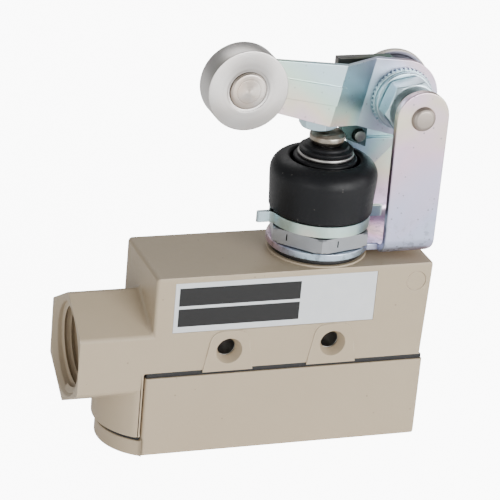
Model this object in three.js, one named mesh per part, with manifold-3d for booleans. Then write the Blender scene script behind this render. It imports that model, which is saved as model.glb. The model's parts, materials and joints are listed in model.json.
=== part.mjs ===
// Enclosed limit switch with a sealed plunger head and an adjustable roller-arm lever.
// Millimetres, +Z up. The origin is the foot of the plunger's axis, on the face the case rests on.
// +X runs along the case towards its blind end, the conduit entry points along -X,
// and the label is on the front face, towards -Y.
import * as THREE from 'three';
import { mergeVertices } from 'three/addons/utils/BufferGeometryUtils.js';
import Module from 'manifold-3d';

const wasm = await Module();
wasm.setup();

// ---------------------------------------------------------------- driving dimensions
const CASE_LEFT = -42.3;
const CASE_RIGHT = 25.1;
const CASE_HALF_DEPTH = 12;
const CASE_TOP = 45;
const CASE_WALL = 2.4;
const TOP_WALL = 3;
const SPLIT_COVER = 20; // top of the cover's rim
const SPLIT_BODY = 21.3; // lower edge of the body; the gasket lies between
const FLANGE_TOP = 3.9; // the cover's flange under the conduit block
const BLOCK_BOTTOM = 5.2;
const HOLE_PITCH = 25.4; // side mounting holes
const HOLE_X = [1.6 - HOLE_PITCH, 1.6];
const HOLE_Z = 25.9;
const HOLE_R = 2.2;
const CONDUIT_Z = 23.8;
const CONDUIT_END = -59.4;
const CONDUIT_FLATS = 24;
const CONDUIT_BORE_R = 10.45; // major radius of a 1/2 inch parallel pipe thread
const PLATE_BOTTOM = 46.7; // the bracket's base plate
const SHEET = 1.8; // the bracket's sheet thickness
const BRACKET_FRONT = -11.5;
const BRACKET_BACK = 11.5;
const PIVOT_X = 18.25;
const PIVOT_Z = 80.75;
const PIVOT_PIN_R = 2.5;
const HUB_FRONT = -7.6; // front end of the hub that turns on the pivot pin
const ARM_LENGTH = 43.7; // pivot to roller
const ARM_RISE = THREE.MathUtils.degToRad(11.3); // the arm's slope in its present setting
const ARM_SHEET = 1.6;
const ARM_AT_PIVOT = 2.2; // front face of the arm at the pivot
const ARM_AT_ROLLER = -5; // front face of the arm at the roller
const ROLLER_R = 9.3;
const ROLLER_WIDTH = 6.35;
const BOLT = { x: -1.8, y: 1.8, bottom: 74.9 }; // the contact bolt above the plunger
const FIT = 0.3; // clear gap between a piece and its neighbour
const ROUND = 40; // facets of a large circle
const SMALL = 20; // facets of a small circle

// ---------------------------------------------------------------- finishes
function finish(color, roughness, metalness) {
  return { color, roughness, metalness };
}
const castPaint = finish(0xb5a486, 0.62, 0.05);
const blackRubber = finish(0x151517, 0.7, 0);
const zincPlate = finish(0xc3ccd2, 0.3, 0.9);
const steel = finish(0xb4b2ae, 0.32, 0.95);
const nickel = finish(0xb9aa98, 0.28, 0.95);
const brass = finish(0xb08d4f, 0.35, 0.9);
const springSteel = finish(0x8d9095, 0.35, 0.9);
const phenolic = finish(0x2b2622, 0.55, 0);
const whitePlastic = finish(0xe6e2d8, 0.45, 0);
const labelFoil = finish(0xe9e9e6, 0.4, 0.1);

// ---------------------------------------------------------------- solids and booleans
function signedVolume(positions, triangles) {
  const corner = [new THREE.Vector3(), new THREE.Vector3(), new THREE.Vector3()];
  let sum = 0;
  for (let t = 0; t < triangles.length; t += 3) {
    corner.forEach((point, k) => point.fromArray(positions, 3 * triangles[t + k]));
    sum += corner[0].dot(corner[1].cross(corner[2])) / 6;
  }
  return sum;
}

// A closed geometry becomes a solid whose faces point outwards.
function solid(geometry) {
  const bare = geometry.clone();
  bare.deleteAttribute('normal');
  bare.deleteAttribute('uv');
  const merged = mergeVertices(bare, 1e-4);
  const vertProperties = new Float32Array(merged.attributes.position.array);
  const index = Array.from(merged.index.array);
  let triVerts = [];
  for (let t = 0; t < index.length; t += 3) {
    const [a, b, c] = index.slice(t, t + 3);
    if (a !== b && b !== c && c !== a) triVerts.push(a, b, c);
  }
  if (signedVolume(vertProperties, triVerts) < 0) triVerts = triVerts.reverse();
  const mesh = new wasm.Mesh({ numProp: 3, vertProperties, triVerts: new Uint32Array(triVerts) });
  return new wasm.Manifold(mesh);
}

function join(...solids) {
  return solids.reduce((whole, piece) => whole.add(piece));
}

function cut(body, ...tools) {
  return tools.reduce((rest, tool) => rest.subtract(tool), body);
}

// A node: one named mesh made from a finished solid.
function node(name, body, look) {
  const { vertProperties, triVerts } = body.getMesh();
  const geometry = new THREE.BufferGeometry();
  geometry.setAttribute('position', new THREE.BufferAttribute(new Float32Array(vertProperties), 3));
  geometry.setIndex(new THREE.BufferAttribute(new Uint32Array(triVerts), 1));
  geometry.computeVertexNormals();
  const mesh = new THREE.Mesh(geometry, new THREE.MeshStandardMaterial(look));
  mesh.name = name;
  return mesh;
}

// ---------------------------------------------------------------- outlines and sweeps
const X = new THREE.Vector3(1, 0, 0);
const Y = new THREE.Vector3(0, 1, 0);
const Z = new THREE.Vector3(0, 0, 1);
// Where an outline's own u, v and sweep directions lie for each sweep axis.
const SWEEP = {
  x: new THREE.Matrix4().makeBasis(Y, Z, X), // outline in (y, z)
  y: new THREE.Matrix4().makeBasis(Z, X, Y), // outline in (z, x), given as (x, z) below
  z: new THREE.Matrix4().makeBasis(X, Y, Z), // outline in (x, y)
};

function sweep(shape, axis, from, to, curveSegments = 12) {
  const geometry = new THREE.ExtrudeGeometry(shape, { depth: 1, bevelEnabled: false, curveSegments });
  const { position } = geometry.attributes;
  for (let k = 0; k < position.count; k += 1) {
    position.setZ(k, position.getZ(k) > 0.5 ? to : from);
  }
  geometry.applyMatrix4(SWEEP[axis]);
  return solid(geometry);
}

function polygon(points, axis) {
  const ordered = axis === 'y' ? points.map(([x, z]) => [z, x]) : points;
  return new THREE.Shape(ordered.map(([u, v]) => new THREE.Vector2(u, v)));
}

function prism(points, axis, from, to) {
  return sweep(polygon(points, axis), axis, from, to);
}

function box(x0, x1, y0, y1, z0, z1) {
  const geometry = new THREE.BoxGeometry(1, 1, 1);
  const { position } = geometry.attributes;
  for (let k = 0; k < position.count; k += 1) {
    const [x, y, z] = [position.getX(k), position.getY(k), position.getZ(k)];
    position.setXYZ(k, x > 0 ? x1 : x0, y > 0 ? y1 : y0, z > 0 ? z1 : z0);
  }
  return solid(geometry);
}

// Points along a round stretch, in degrees from the first direction.
function arc(cu, cv, radius, startDeg, endDeg, steps) {
  return Array.from({ length: steps + 1 }, (_, k) => {
    const angle = THREE.MathUtils.degToRad(startDeg + ((endDeg - startDeg) * k) / steps);
    return [cu + radius * Math.cos(angle), cv + radius * Math.sin(angle)];
  });
}

function hexagon(cu, cv, flats, turnDeg = 0) {
  return arc(cu, cv, flats / Math.sqrt(3), turnDeg, turnDeg + 300, 5);
}

// A turned piece: profile of (radius, distance along the axis) from one end to the other.
function turned(profile, axis = 'z', at = [0, 0, 0], facets = ROUND) {
  const points = profile.map(([r, d]) => new THREE.Vector2(r, d));
  const geometry = new THREE.LatheGeometry(points, facets);
  if (axis === 'z') geometry.rotateX(Math.PI / 2);
  if (axis === 'x') geometry.rotateZ(-Math.PI / 2);
  geometry.translate(...at);
  return solid(geometry);
}

function rod(axis, at, radius, from, to, facets = SMALL) {
  return turned([[0, from], [radius, from], [radius, to], [0, to]], axis, at, facets);
}

function tube(axis, at, inner, outer, from, to, facets = ROUND) {
  const profile = [[inner, from], [outer, from], [outer, to], [inner, to], [inner, from]];
  return turned(profile, axis, at, facets);
}

// A rod with a chamfer at its far ends.
function chamferedRod(axis, at, radius, from, to, chamfer, facets = SMALL) {
  const profile = [[0, from], [radius - chamfer, from], [radius, from + chamfer],
    [radius, to - chamfer], [radius - chamfer, to], [0, to]];
  return turned(profile, axis, at, facets);
}

// A hexagon nut blank or bolt head, with its corners turned off on both faces.
function hexBlank(axis, at, flats, from, to, turnDeg = 0) {
  const [x, y, z] = at;
  const centre = axis === 'y' ? [x, z] : [x, y];
  const corner = flats / Math.sqrt(3);
  const chamfer = corner - flats / 2 + 0.15;
  const hex = prism(hexagon(...centre, flats, turnDeg), axis, from, to);
  const along = axis === 'y' ? [x, 0, z] : [x, y, 0];
  const profile = [[0, from], [corner - chamfer, from], [corner + 0.1, from + chamfer * 0.6],
    [corner + 0.1, to - chamfer * 0.6], [corner - chamfer, to], [0, to]];
  return hex.intersect(turned(profile, axis, along));
}

// A round-wire helical compression spring about a vertical axis.
function spring(name, meanR, wireR, turns, z0, z1, look) {
  class Helix extends THREE.Curve {
    getPoint(t, target = new THREE.Vector3()) {
      const angle = 2 * Math.PI * turns * t;
      const z = z0 + wireR + (z1 - z0 - 2 * wireR) * t;
      return target.set(meanR * Math.cos(angle), meanR * Math.sin(angle), z);
    }
  }
  const wire = new THREE.Shape().absarc(0, 0, wireR, 0, 2 * Math.PI);
  const geometry = new THREE.ExtrudeGeometry(wire, {
    extrudePath: new Helix(), steps: Math.round(turns * 12), curveSegments: 3, bevelEnabled: false,
  });
  return node(name, solid(geometry), look);
}

// ---------------------------------------------------------------- die-cast case
const BLOCK_ARC_X = -37.4; // centre of the rounded end under the conduit
const BLOCK_ARC_R = 14.2;
const FLANGE_ARC_R = 13.2;
const BLOCK_RIGHT = -43.6;
const COVER_LEFT = -43.3;
const CAVITY = { left: -39.9, right: 22.7, halfDepth: 9.6 };
const RIGHT_POST = { x: 19.8, y: 6.8, r: 3.1 };
const LEFT_SCREW_X = -47.4;
const SCREW_R = 1.5;
const COVER_SCREWS = [
  { name: 'left', x: LEFT_SCREW_X, y: 0, tip: 12.6, holeTop: 13.2 },
  { name: 'front', x: RIGHT_POST.x, y: -RIGHT_POST.y, tip: 34.4, holeTop: 35 },
  { name: 'back', x: RIGHT_POST.x, y: RIGHT_POST.y, tip: 34.4, holeTop: 35 },
];
const LABEL = { x0: -37.5, x1: 10.9, z0: 31.5, z1: 43.3, recess: 0.6 };
const PAD_PROUD = 0.25;

// Plan outline of the rounded end: an arc, with flat sides where it grows as deep as the case,
// closed by a straight edge at x = right.
function roundedEnd(radius, right) {
  const half = CASE_HALF_DEPTH;
  const tangentX = BLOCK_ARC_X - Math.sqrt(radius ** 2 - half ** 2);
  if (right <= tangentX) {
    const halfTurn = THREE.MathUtils.radToDeg(Math.acos((BLOCK_ARC_X - right) / radius));
    return arc(BLOCK_ARC_X, 0, radius, 180 - halfTurn, 180 + halfTurn, 20);
  }
  const reach = THREE.MathUtils.radToDeg(Math.asin(half / radius));
  const round = arc(BLOCK_ARC_X, 0, radius, 180 - reach, 180 + reach, 20).slice(1, -1);
  return [[right, half], [tangentX, half], ...round, [tangentX, -half], [right, -half]];
}

// The raised pad round a side mounting hole: round-shouldered, flared towards the gasket.
function mountingPad(x) {
  const pad = new THREE.Shape();
  const foot = SPLIT_BODY - 0.5;
  pad.moveTo(foot, x - 6.1);
  pad.lineTo(28.6, x - 4.7);
  pad.quadraticCurveTo(31, x - 4.2, 31, x - 1.4);
  pad.lineTo(31, x + 1.4);
  pad.quadraticCurveTo(31, x + 4.2, 28.6, x + 4.7);
  pad.lineTo(foot, x + 6.1);
  return sweep(pad, 'y', -CASE_HALF_DEPTH - PAD_PROUD, -CASE_HALF_DEPTH + 0.1, 6);
}

function caseBody() {
  const half = CASE_HALF_DEPTH;
  const shell = prism([[CASE_LEFT, SPLIT_BODY], [CASE_RIGHT - 0.7, SPLIT_BODY],
    [CASE_RIGHT + 0.1, CASE_TOP], [CASE_LEFT, CASE_TOP]], 'y', -half, half);
  const boss = prism(hexagon(0, CONDUIT_Z, CONDUIT_FLATS + 0.1, 90), 'x', CONDUIT_END, CASE_LEFT + CASE_WALL);
  const bossRoom = box(CONDUIT_END, BLOCK_RIGHT, -half, half, 0, CASE_TOP);
  const bossAbove = box(BLOCK_RIGHT, CASE_LEFT + CASE_WALL, -half, half, SPLIT_BODY, CASE_TOP);
  const block = prism(roundedEnd(BLOCK_ARC_R, BLOCK_RIGHT), 'z', BLOCK_BOTTOM, CONDUIT_Z);
  const seatRing = rod('z', [0, 0, 0], 11.6, CASE_TOP - 1, CASE_TOP + 0.35, ROUND);
  const pads = HOLE_X.map(mountingPad);
  let body = join(shell, boss.intersect(join(bossRoom, bossAbove)), block, seatRing, ...pads);

  const cavity = box(CAVITY.left, CAVITY.right, -CAVITY.halfDepth, CAVITY.halfDepth,
    SPLIT_BODY - 1, CASE_TOP - TOP_WALL);
  const posts = [-1, 1].map((side) => rod('z', [RIGHT_POST.x, side * RIGHT_POST.y, 0],
    RIGHT_POST.r, SPLIT_BODY, CASE_TOP - 1));
  body = join(cut(body, cavity), ...posts);

  // Conduit entry: chamfered mouth, threaded length, then a plain passage into the case.
  const conduit = turned([[0, CONDUIT_END - 1], [12.4, CONDUIT_END - 1], [11.5, CONDUIT_END],
    [CONDUIT_BORE_R, CONDUIT_END + 1.1], [CONDUIT_BORE_R, -47.5], [9.2, -47.5], [9.2, CAVITY.left + 0.5],
    [0, CAVITY.left + 0.5]], 'x', [0, 0, CONDUIT_Z]);
  const headHole = rod('z', [0, 0, 0], 9.15, CASE_TOP - TOP_WALL - 1, CASE_TOP + 1, ROUND);
  const screwHoles = COVER_SCREWS.map(({ x, y, holeTop }) => rod('z', [x, y, 0], SCREW_R + 0.1, 0, holeTop));
  const labelPocket = box(LABEL.x0 - FIT, LABEL.x1 + FIT, -half - 1, -half + LABEL.recess,
    LABEL.z0 - FIT, LABEL.z1 + FIT);
  const ejectorMark = rod('y', [21.1, 0, 40.5], 2.4, -half - 1, -half + 0.2);
  body = cut(body, conduit, headHole, labelPocket, ejectorMark, ...screwHoles);

  HOLE_X.forEach((x) => {
    const frontHole = turned([[0, -half - 2], [5, -half - 2], [3.2, -half - PAD_PROUD], [HOLE_R, -half + 1.9],
      [HOLE_R, 0], [0, 0]], 'y', [x, 0, HOLE_Z], SMALL);
    const sleeveHole = rod('y', [x, 0, HOLE_Z], 3.1, CAVITY.halfDepth - 1, half + 1);
    body = cut(body, frontHole, sleeveHole);
  });
  return node('case_body', body, castPaint);
}

function bottomCover() {
  const half = CASE_HALF_DEPTH;
  const tub = box(COVER_LEFT, CASE_RIGHT, -half, half, 0, SPLIT_COVER);
  const flange = prism(roundedEnd(FLANGE_ARC_R, COVER_LEFT + 1), 'z', 0, FLANGE_TOP);
  const hollow = box(COVER_LEFT + CASE_WALL, CASE_RIGHT - CASE_WALL, -half + CASE_WALL, half - CASE_WALL,
    2.6, SPLIT_COVER + 1);
  const posts = [-1, 1].map((side) => rod('z', [RIGHT_POST.x, side * RIGHT_POST.y, 0],
    RIGHT_POST.r + 0.3, 0.5, SPLIT_COVER));
  let cover = join(cut(join(tub, flange), hollow), ...posts);
  COVER_SCREWS.forEach(({ x, y }) => {
    const shank = rod('z', [x, y, 0], SCREW_R + 0.25, -1, SPLIT_COVER + 1);
    const counterbore = rod('z', [x, y, 0], 2.8, -1, 2.2);
    cover = cut(cover, shank, counterbore);
  });
  return node('bottom_cover', cover, castPaint);
}

function caseGasket() {
  const [bottom, top] = [SPLIT_COVER + 0.05, SPLIT_BODY - 0.05];
  const outer = box(COVER_LEFT + 0.15, CASE_RIGHT - 0.35, -11.75, 11.75, bottom, top);
  const inner = box(COVER_LEFT + 2.4, CASE_RIGHT - 2.3, -9.7, 9.7, SPLIT_COVER - 1, SPLIT_BODY + 1);
  return node('case_gasket', cut(outer, inner), blackRubber);
}

function blockGasket() {
  const outline = roundedEnd(FLANGE_ARC_R - 0.2, BLOCK_RIGHT - 0.1);
  const sheet = prism(outline, 'z', FLANGE_TOP + 0.05, BLOCK_BOTTOM - 0.05);
  const hole = rod('z', [LEFT_SCREW_X, 0, 0], SCREW_R + 0.4, 0, BLOCK_BOTTOM + 1);
  return node('block_gasket', cut(sheet, hole), blackRubber);
}

// A slotted cheese-head screw, driven upwards from the cover's underside.
function coverScrew({ name, x, y, tip }) {
  const shank = rod('z', [x, y, 0], SCREW_R, 1, tip);
  const head = chamferedRod('z', [x, y, 0], 2.5, 0.3, 2.1, 0.25);
  const slot = box(x - 3, x + 3, y - 0.35, y + 0.35, -1, 1);
  return node(`cover_screw_${name}`, cut(join(shank, head), slot), steel);
}

function labelPlate() {
  const plate = box(LABEL.x0, LABEL.x1, -CASE_HALF_DEPTH + 0.08, -CASE_HALF_DEPTH + LABEL.recess - 0.05,
    LABEL.z0, LABEL.z1);
  return node('label_plate', plate, labelFoil);
}

function mountingSleeve(name, x) {
  const sleeve = tube('y', [x, 0, HOLE_Z], HOLE_R, 3, -CAVITY.halfDepth + 0.2, CASE_HALF_DEPTH - 0.1, SMALL);
  return node(name, sleeve, steel);
}

// ---------------------------------------------------------------- basic switch inside the case
const SWITCH = { left: -35.5, right: 13.7, bottom: 18, top: 38.3, front: -8.7, back: 8.7, lid: 1.8 };
const CHAMBER = { left: -31.5, right: 11, bottom: 30.4, top: 36.5 };
const BLADE_Z = 34;
const TERMINAL_FOOT_Z = 13.6;

function switchHousing() {
  const s = SWITCH;
  const c = CHAMBER;
  let housing = box(s.left, s.right, s.front + s.lid + 0.1, s.back, s.bottom, s.top);
  const chamber = box(c.left, c.right, s.front, s.back - 2, c.bottom, c.top);
  const pinHole = rod('z', [0, 0, 0], 1.85, c.top - 1, s.top + 1);
  const slots = TERMINALS.map(({ x0, x1 }) => box(x0 - 0.15, x1 + 0.15, -3.15, 3.15,
    s.bottom - 1, c.bottom + 1));
  housing = cut(housing, chamber, pinHole, ...slots);
  HOLE_X.forEach((x) => {
    housing = cut(housing, rod('y', [x, 0, HOLE_Z], 3.3, -12, 12));
  });
  return node('switch_housing', housing, phenolic);
}

function switchLid() {
  const s = SWITCH;
  let lid = box(s.left, s.right, s.front, s.front + s.lid, s.bottom, s.top);
  HOLE_X.forEach((x) => {
    lid = cut(lid, rod('y', [x, 0, HOLE_Z], 3.3, -12, 12));
  });
  return node('switch_lid', lid, phenolic);
}

function switchPin() {
  const stem = chamferedRod('z', [0, 0, 0], 1.6, BLADE_Z + 0.6, 41.6, 0.3);
  const collar = rod('z', [0, 0, 0], 2.6, BLADE_Z + 0.6, BLADE_Z + 1.8);
  return node('switch_pin', join(stem, collar), whitePlastic);
}

// The snap blade carries the moving contact at its free end.
function snapBlade() {
  const blade = box(-29, 8.2, -2.6, 2.6, BLADE_Z - 0.15, BLADE_Z + 0.15);
  const window = box(-24, -6, -1.2, 1.2, BLADE_Z - 1, BLADE_Z + 1);
  const contact = rod('z', [6.6, 0, 0], 1.4, BLADE_Z - 0.55, BLADE_Z + 0.55, 20);
  return node('snap_blade', join(cut(blade, window), contact), brass);
}

// Each terminal: a strip down through the housing, with a foot for its screw and,
// in the chamber, a ledge under or over the blade.
const TERMINALS = [
  { name: 'common', x0: -30.9, x1: -29.7, foot: [-30.9, -22.5], ledge: [-30.9, -27.6, 32.6, 33.5] },
  { name: 'normally_open', x0: 4.9, x1: 6.1, foot: [-2.5, 6.1], ledge: [4.9, 8, 31, 31.8] },
  { name: 'normally_closed', x0: 9.2, x1: 10.4, foot: [9.2, 16.4], ledge: [5.4, 10.4, 35.1, 36] },
];

function terminal({ name, x0, x1, foot, ledge }) {
  const [left, right, low, high] = ledge;
  const strip = box(x0, x1, -3, 3, TERMINAL_FOOT_Z, high);
  const shelf = box(left, right, -2, 2, low, high);
  const plate = box(foot[0], foot[1], -3.4, 3.4, TERMINAL_FOOT_Z, TERMINAL_FOOT_Z + 1.2);
  const middle = terminalScrewX({ x0, x1, foot });
  const hole = rod('z', [middle, 0, 0], 1.8, TERMINAL_FOOT_Z - 1, TERMINAL_FOOT_Z + 3, 20);
  return node(`${name}_terminal`, cut(join(strip, shelf, plate), hole), brass);
}

function terminalScrewX({ x0, x1, foot }) {
  const strip = (x0 + x1) / 2;
  const free = strip - foot[0] < foot[1] - strip ? foot[1] : foot[0];
  return free + Math.sign(strip - free) * 3.2;
}

function terminalScrew(spec) {
  const x = terminalScrewX(spec);
  const head = chamferedRod('z', [x, 0, 0], 2.7, TERMINAL_FOOT_Z - 2.2, TERMINAL_FOOT_Z - 0.1, 0.25);
  const shank = rod('z', [x, 0, 0], 1.6, TERMINAL_FOOT_Z - 1, TERMINAL_FOOT_Z + 3);
  const slot = box(x - 3, x + 3, -0.35, 0.35, TERMINAL_FOOT_Z - 3, TERMINAL_FOOT_Z - 1.5);
  return node(`${spec.name}_terminal_screw`, cut(join(head, shank), slot), steel);
}

// ---------------------------------------------------------------- sealed plunger head
const SLEEVE_R = 9;
const GUIDE_R = 3.6; // the sleeve's bore, in which the plunger slides
const CHAMBER_R = 6.3; // the return spring's room in the sleeve
const CHAMBER_TOP = 52.9;
const COLLAR_Z = 50.4; // underside of the plunger's collar at rest
const RETAINER_TOP = 43.6;
const NUT_TOP = 52.2;
const BOOT_BOTTOM = 52.5;
const BOOT_TOP = 68;
const BOOT_R = 12.6;
const BOOT_FLOOR = 65.2; // floor of the recess round the plunger
const BOOT_SHOULDER = 3.8;
const CLAMP_R = 11.8; // band round the boot's foot
const CLAMP_TOP = 55.2;
const EAR_REACH = 15.4;

function headSleeve() {
  const bottom = CASE_TOP - TOP_WALL + 0.4;
  const profile = [[GUIDE_R, CHAMBER_TOP], [CHAMBER_R, CHAMBER_TOP], [CHAMBER_R, bottom], [SLEEVE_R, bottom],
    [SLEEVE_R, NUT_TOP], [SLEEVE_R - 0.2, NUT_TOP + 0.2], [SLEEVE_R - 0.2, 57], [SLEEVE_R - 1.2, 58],
    [GUIDE_R, 58], [GUIDE_R, CHAMBER_TOP]];
  return node('head_sleeve', turned(profile), steel);
}

function springRetainer() {
  return node('spring_retainer', tube('z', [0, 0, 0], 4.2, CHAMBER_R - 0.1, 42.6, RETAINER_TOP), steel);
}

function seatWasher() {
  return node('seat_washer', tube('z', [0, 0, 0], 9.4, 11, CASE_TOP + 0.4, PLATE_BOTTOM - 0.1), blackRubber);
}

function lockNut() {
  const top = PLATE_BOTTOM + SHEET;
  const blank = hexBlank('z', [0, 0, 0], 22, top + 0.2, NUT_TOP, -106);
  return node('lock_nut', cut(blank, rod('z', [0, 0, 0], SLEEVE_R + 0.15, 40, 60, ROUND)), zincPlate);
}

// Band with two radial ears, squeezed round the boot's foot.
function bootClamp() {
  const bottom = BOOT_BOTTOM - 0.1;
  const band = tube('z', [0, 0, 0], CLAMP_R - 0.6, CLAMP_R, bottom, CLAMP_TOP);
  const ears = [[-EAR_REACH, 0.2 - CLAMP_R], [CLAMP_R - 0.2, EAR_REACH]]
    .map(([x0, x1]) => box(x0, x1, -0.6, 0.6, bottom, CLAMP_TOP - 0.3));
  return node('boot_clamp', join(band, ...ears), zincPlate);
}

function boot() {
  const rim = BOOT_R - BOOT_SHOULDER;
  const shoulder = arc(rim, BOOT_TOP - BOOT_SHOULDER, BOOT_SHOULDER, 0, 90, 7);
  const profile = [[9.1, BOOT_BOTTOM], [11.1, BOOT_BOTTOM], [11.1, 55.4], [12, 55.6], ...shoulder,
    [8.3, BOOT_TOP], [8, BOOT_TOP - 0.3], [7.8, BOOT_FLOOR], [GUIDE_R, BOOT_FLOOR], [GUIDE_R, 63.6],
    [8, 63.2], [9.1, 62], [9.1, BOOT_BOTTOM]];
  return node('boot', turned(profile), blackRubber);
}

const SHAFT_R = 3.3;

function plungerShaft() {
  const profile = [[0, 56], [2.4, 56], [2.4, 44.6], [GUIDE_R, 44.6], [GUIDE_R, COLLAR_Z], [5.9, COLLAR_Z],
    [5.9, 52.6], [SHAFT_R, 52.6], [SHAFT_R, 68.2], [2.6, 68.2], [2.6, 73.8], [0, 73.8]];
  return node('plunger_shaft', turned(profile, 'z', [0, 0, 0], SMALL), steel);
}

function plungerWasher() {
  const profile = [[2.7, 68.5], [6.2, 68.5], [6.5, 68.7], [6.5, 69.2], [6.3, 69.4], [2.7, 69.4], [2.7, 68.5]];
  return node('plunger_washer', turned(profile), steel);
}

function plungerSeal() {
  const profile = [[2.7, 69.5], [5.9, 69.5], [6.3, 69.9], [6.3, 70.4], [5.1, 71.3], [2.7, 71.3], [2.7, 69.5]];
  return node('plunger_seal', turned(profile), blackRubber);
}

// The tip is screwed on the shaft's upper end.
function plungerTip() {
  const profile = [[0, 74.4], [3.5, 74.4], [4.4, 73.7], [4.4, 72.4], [3.6, 71.5], [2.7, 71.5], [2.7, 73.9],
    [0, 73.9]];
  return node('plunger_tip', turned(profile, 'z', [0, 0, 0], SMALL), nickel);
}

// Sprung button in the plunger's hollow foot: it presses the basic switch's pin.
function pushButton() {
  return node('push_button', chamferedRod('z', [0, 0, 0], 2.2, 42, 50, 0.3), brass);
}

// ---------------------------------------------------------------- lever bracket
const BRACKET_LEFT = 12.3;
const BRACKET_RIGHT = 24.6;
const BEND_R = 4.2; // outside radius of the two bends
const TOP_R = 6.4; // the walls' round top about the pivot
const NECK = 7.1; // half width of the base plate between ring and walls

// Cross-section of the folded sheet in (y, z): two walls and the floor between them.
function foldedSection() {
  const top = 110;
  const inner = BEND_R - SHEET;
  const low = PLATE_BOTTOM + BEND_R;
  const section = new THREE.Shape();
  section.moveTo(BRACKET_FRONT, top);
  section.lineTo(BRACKET_FRONT, low);
  section.absarc(BRACKET_FRONT + BEND_R, low, BEND_R, Math.PI, 1.5 * Math.PI);
  section.absarc(BRACKET_BACK - BEND_R, low, BEND_R, -0.5 * Math.PI, 0);
  section.lineTo(BRACKET_BACK, top);
  section.lineTo(BRACKET_BACK - SHEET, top);
  section.absarc(BRACKET_BACK - BEND_R, low, inner, 0, -0.5 * Math.PI, true);
  section.absarc(BRACKET_FRONT + BEND_R, low, inner, 1.5 * Math.PI, Math.PI, true);
  section.lineTo(BRACKET_FRONT + SHEET, top);
  return section;
}

function leverBracket() {
  const folded = sweep(foldedSection(), 'x', 0, BRACKET_RIGHT + 1, 6);
  // Side view of both walls in (x, z): round top about the pivot, small round at the outer foot.
  const side = [[BRACKET_LEFT, PLATE_BOTTOM - 1], [BRACKET_RIGHT - 2.5, PLATE_BOTTOM - 1],
    [BRACKET_RIGHT - 2.5, PLATE_BOTTOM], ...arc(BRACKET_RIGHT - 2.5, PLATE_BOTTOM + 2.5, 2.5, -90, 0, 4),
    ...arc(PIVOT_X, PIVOT_Z, TOP_R, 0, 180, 20)];
  const walls = folded.intersect(prism(side, 'y', -20, 20));
  const ring = rod('z', [0, 0, 0], 12, PLATE_BOTTOM, PLATE_BOTTOM + SHEET, ROUND);
  const neck = box(5, BRACKET_LEFT + 1, -NECK, NECK, PLATE_BOTTOM, PLATE_BOTTOM + SHEET);
  const sleeveHole = rod('z', [0, 0, 0], SLEEVE_R + 0.3, 40, 60, ROUND);
  const pinHole = rod('y', [PIVOT_X, 0, PIVOT_Z], PIVOT_PIN_R + 0.1, -20, 20);
  return node('lever_bracket', cut(join(walls, ring, neck), sleeveHole, pinHole), zincPlate);
}

// Headed pivot pin, riveted over behind the back wall.
function pivotPin() {
  const front = BRACKET_FRONT - 0.05;
  const back = BRACKET_BACK + 0.05;
  const profile = [[0, front - 1.05], [2, front - 1], [2.55, front - 0.7], [3, front], [PIVOT_PIN_R, front],
    [PIVOT_PIN_R, back], [3.1, back], [2.9, back + 0.6], [2.2, back + 0.9], [0, back + 1]];
  return node('pivot_pin', turned(profile, 'y', [PIVOT_X, 0, PIVOT_Z], 32), nickel);
}

function pivotCollar() {
  const front = BRACKET_FRONT + SHEET + 0.1;
  const collar = tube('y', [PIVOT_X, 0, PIVOT_Z], PIVOT_PIN_R + 0.15, 5.5, front, HUB_FRONT - FIT, 32);
  return node('pivot_collar', collar, whitePlastic);
}

// Dished disc between the lever's hub and the back wall.
function pivotDisc() {
  const back = BRACKET_BACK - SHEET - 0.1;
  const front = back - 1.3;
  const profile = [[2.65, front + 0.3], [8.3, front + 0.3], [8.5, front], [9.3, front], [9.5, front + 0.2],
    [9.5, back], [2.65, back], [2.65, front + 0.3]];
  return node('pivot_disc', turned(profile, 'y', [PIVOT_X, 0, PIVOT_Z]), whitePlastic);
}

// Stop for the lever's pin, fixed on the inside of the back wall and clear of the boot.
function stopPlate() {
  const back = BRACKET_BACK - SHEET - 0.1;
  const outline = [[8.6, 68.5], [22.1, 68.5], [13.3, 59.2], [10.2, 59.2], [10.2, 66.4], [8.6, 67.4]];
  return node('stop_plate', prism(outline, 'y', back - 1.4, back), zincPlate);
}

// ---------------------------------------------------------------- lever on the pivot
const HUB_R = 4;
const PLATE_FRONT = ARM_AT_PIVOT + ARM_SHEET + 0.3; // front face of the follower's plate
const PLATE_SHEET = 2.3;
const SHELF_Z = 79.4;
const STOP_PIN = { x: 9.4, z: 71.2, r: 1.4 };
const HUB_FLANGE_R = 6.5;
const HUB_BACK = 8;
const TEETH = 36;
const TOOTH_TIP_R = 7.55;
const TOOTH_ROOT_R = 7.15;
const WASHER_FRONT = -0.4; // clamp washer

function followerLever() {
  const back = PLATE_FRONT + PLATE_SHEET;
  const outline = [[5, 70.8], [11.6, 68.1], [11.6, 72], ...arc(PIVOT_X, PIVOT_Z, 8, 215, 450, 24),
    [16, 88.75], [16, 90.3], [2.5, 90.3], [2.5, SHELF_Z], [5, SHELF_Z]];
  const plate = prism(outline, 'y', PLATE_FRONT, back);
  // The shelf that carries the contact bolt, in (x, y); its front edge runs back beside the arm's bend.
  const shelf = prism([[-6.4, -2.4], [-0.8, -2.4], [4.2, 2.2], [6.6, PLATE_FRONT], [8, PLATE_FRONT],
    [8, back], [-6.4, back]], 'z', SHELF_Z, SHELF_Z + 1.6);
  const holes = [
    rod('y', [PIVOT_X, 0, PIVOT_Z], HUB_R + 0.1, 0, 12),
    rod('y', [STOP_PIN.x, 0, STOP_PIN.z], STOP_PIN.r + 0.05, 0, 12, 16),
    rod('z', [BOLT.x, BOLT.y, 0], 2.5, SHELF_Z - 1, SHELF_Z + 3),
  ];
  return node('follower_lever', cut(join(plate, shelf), ...holes), zincPlate);
}

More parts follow.
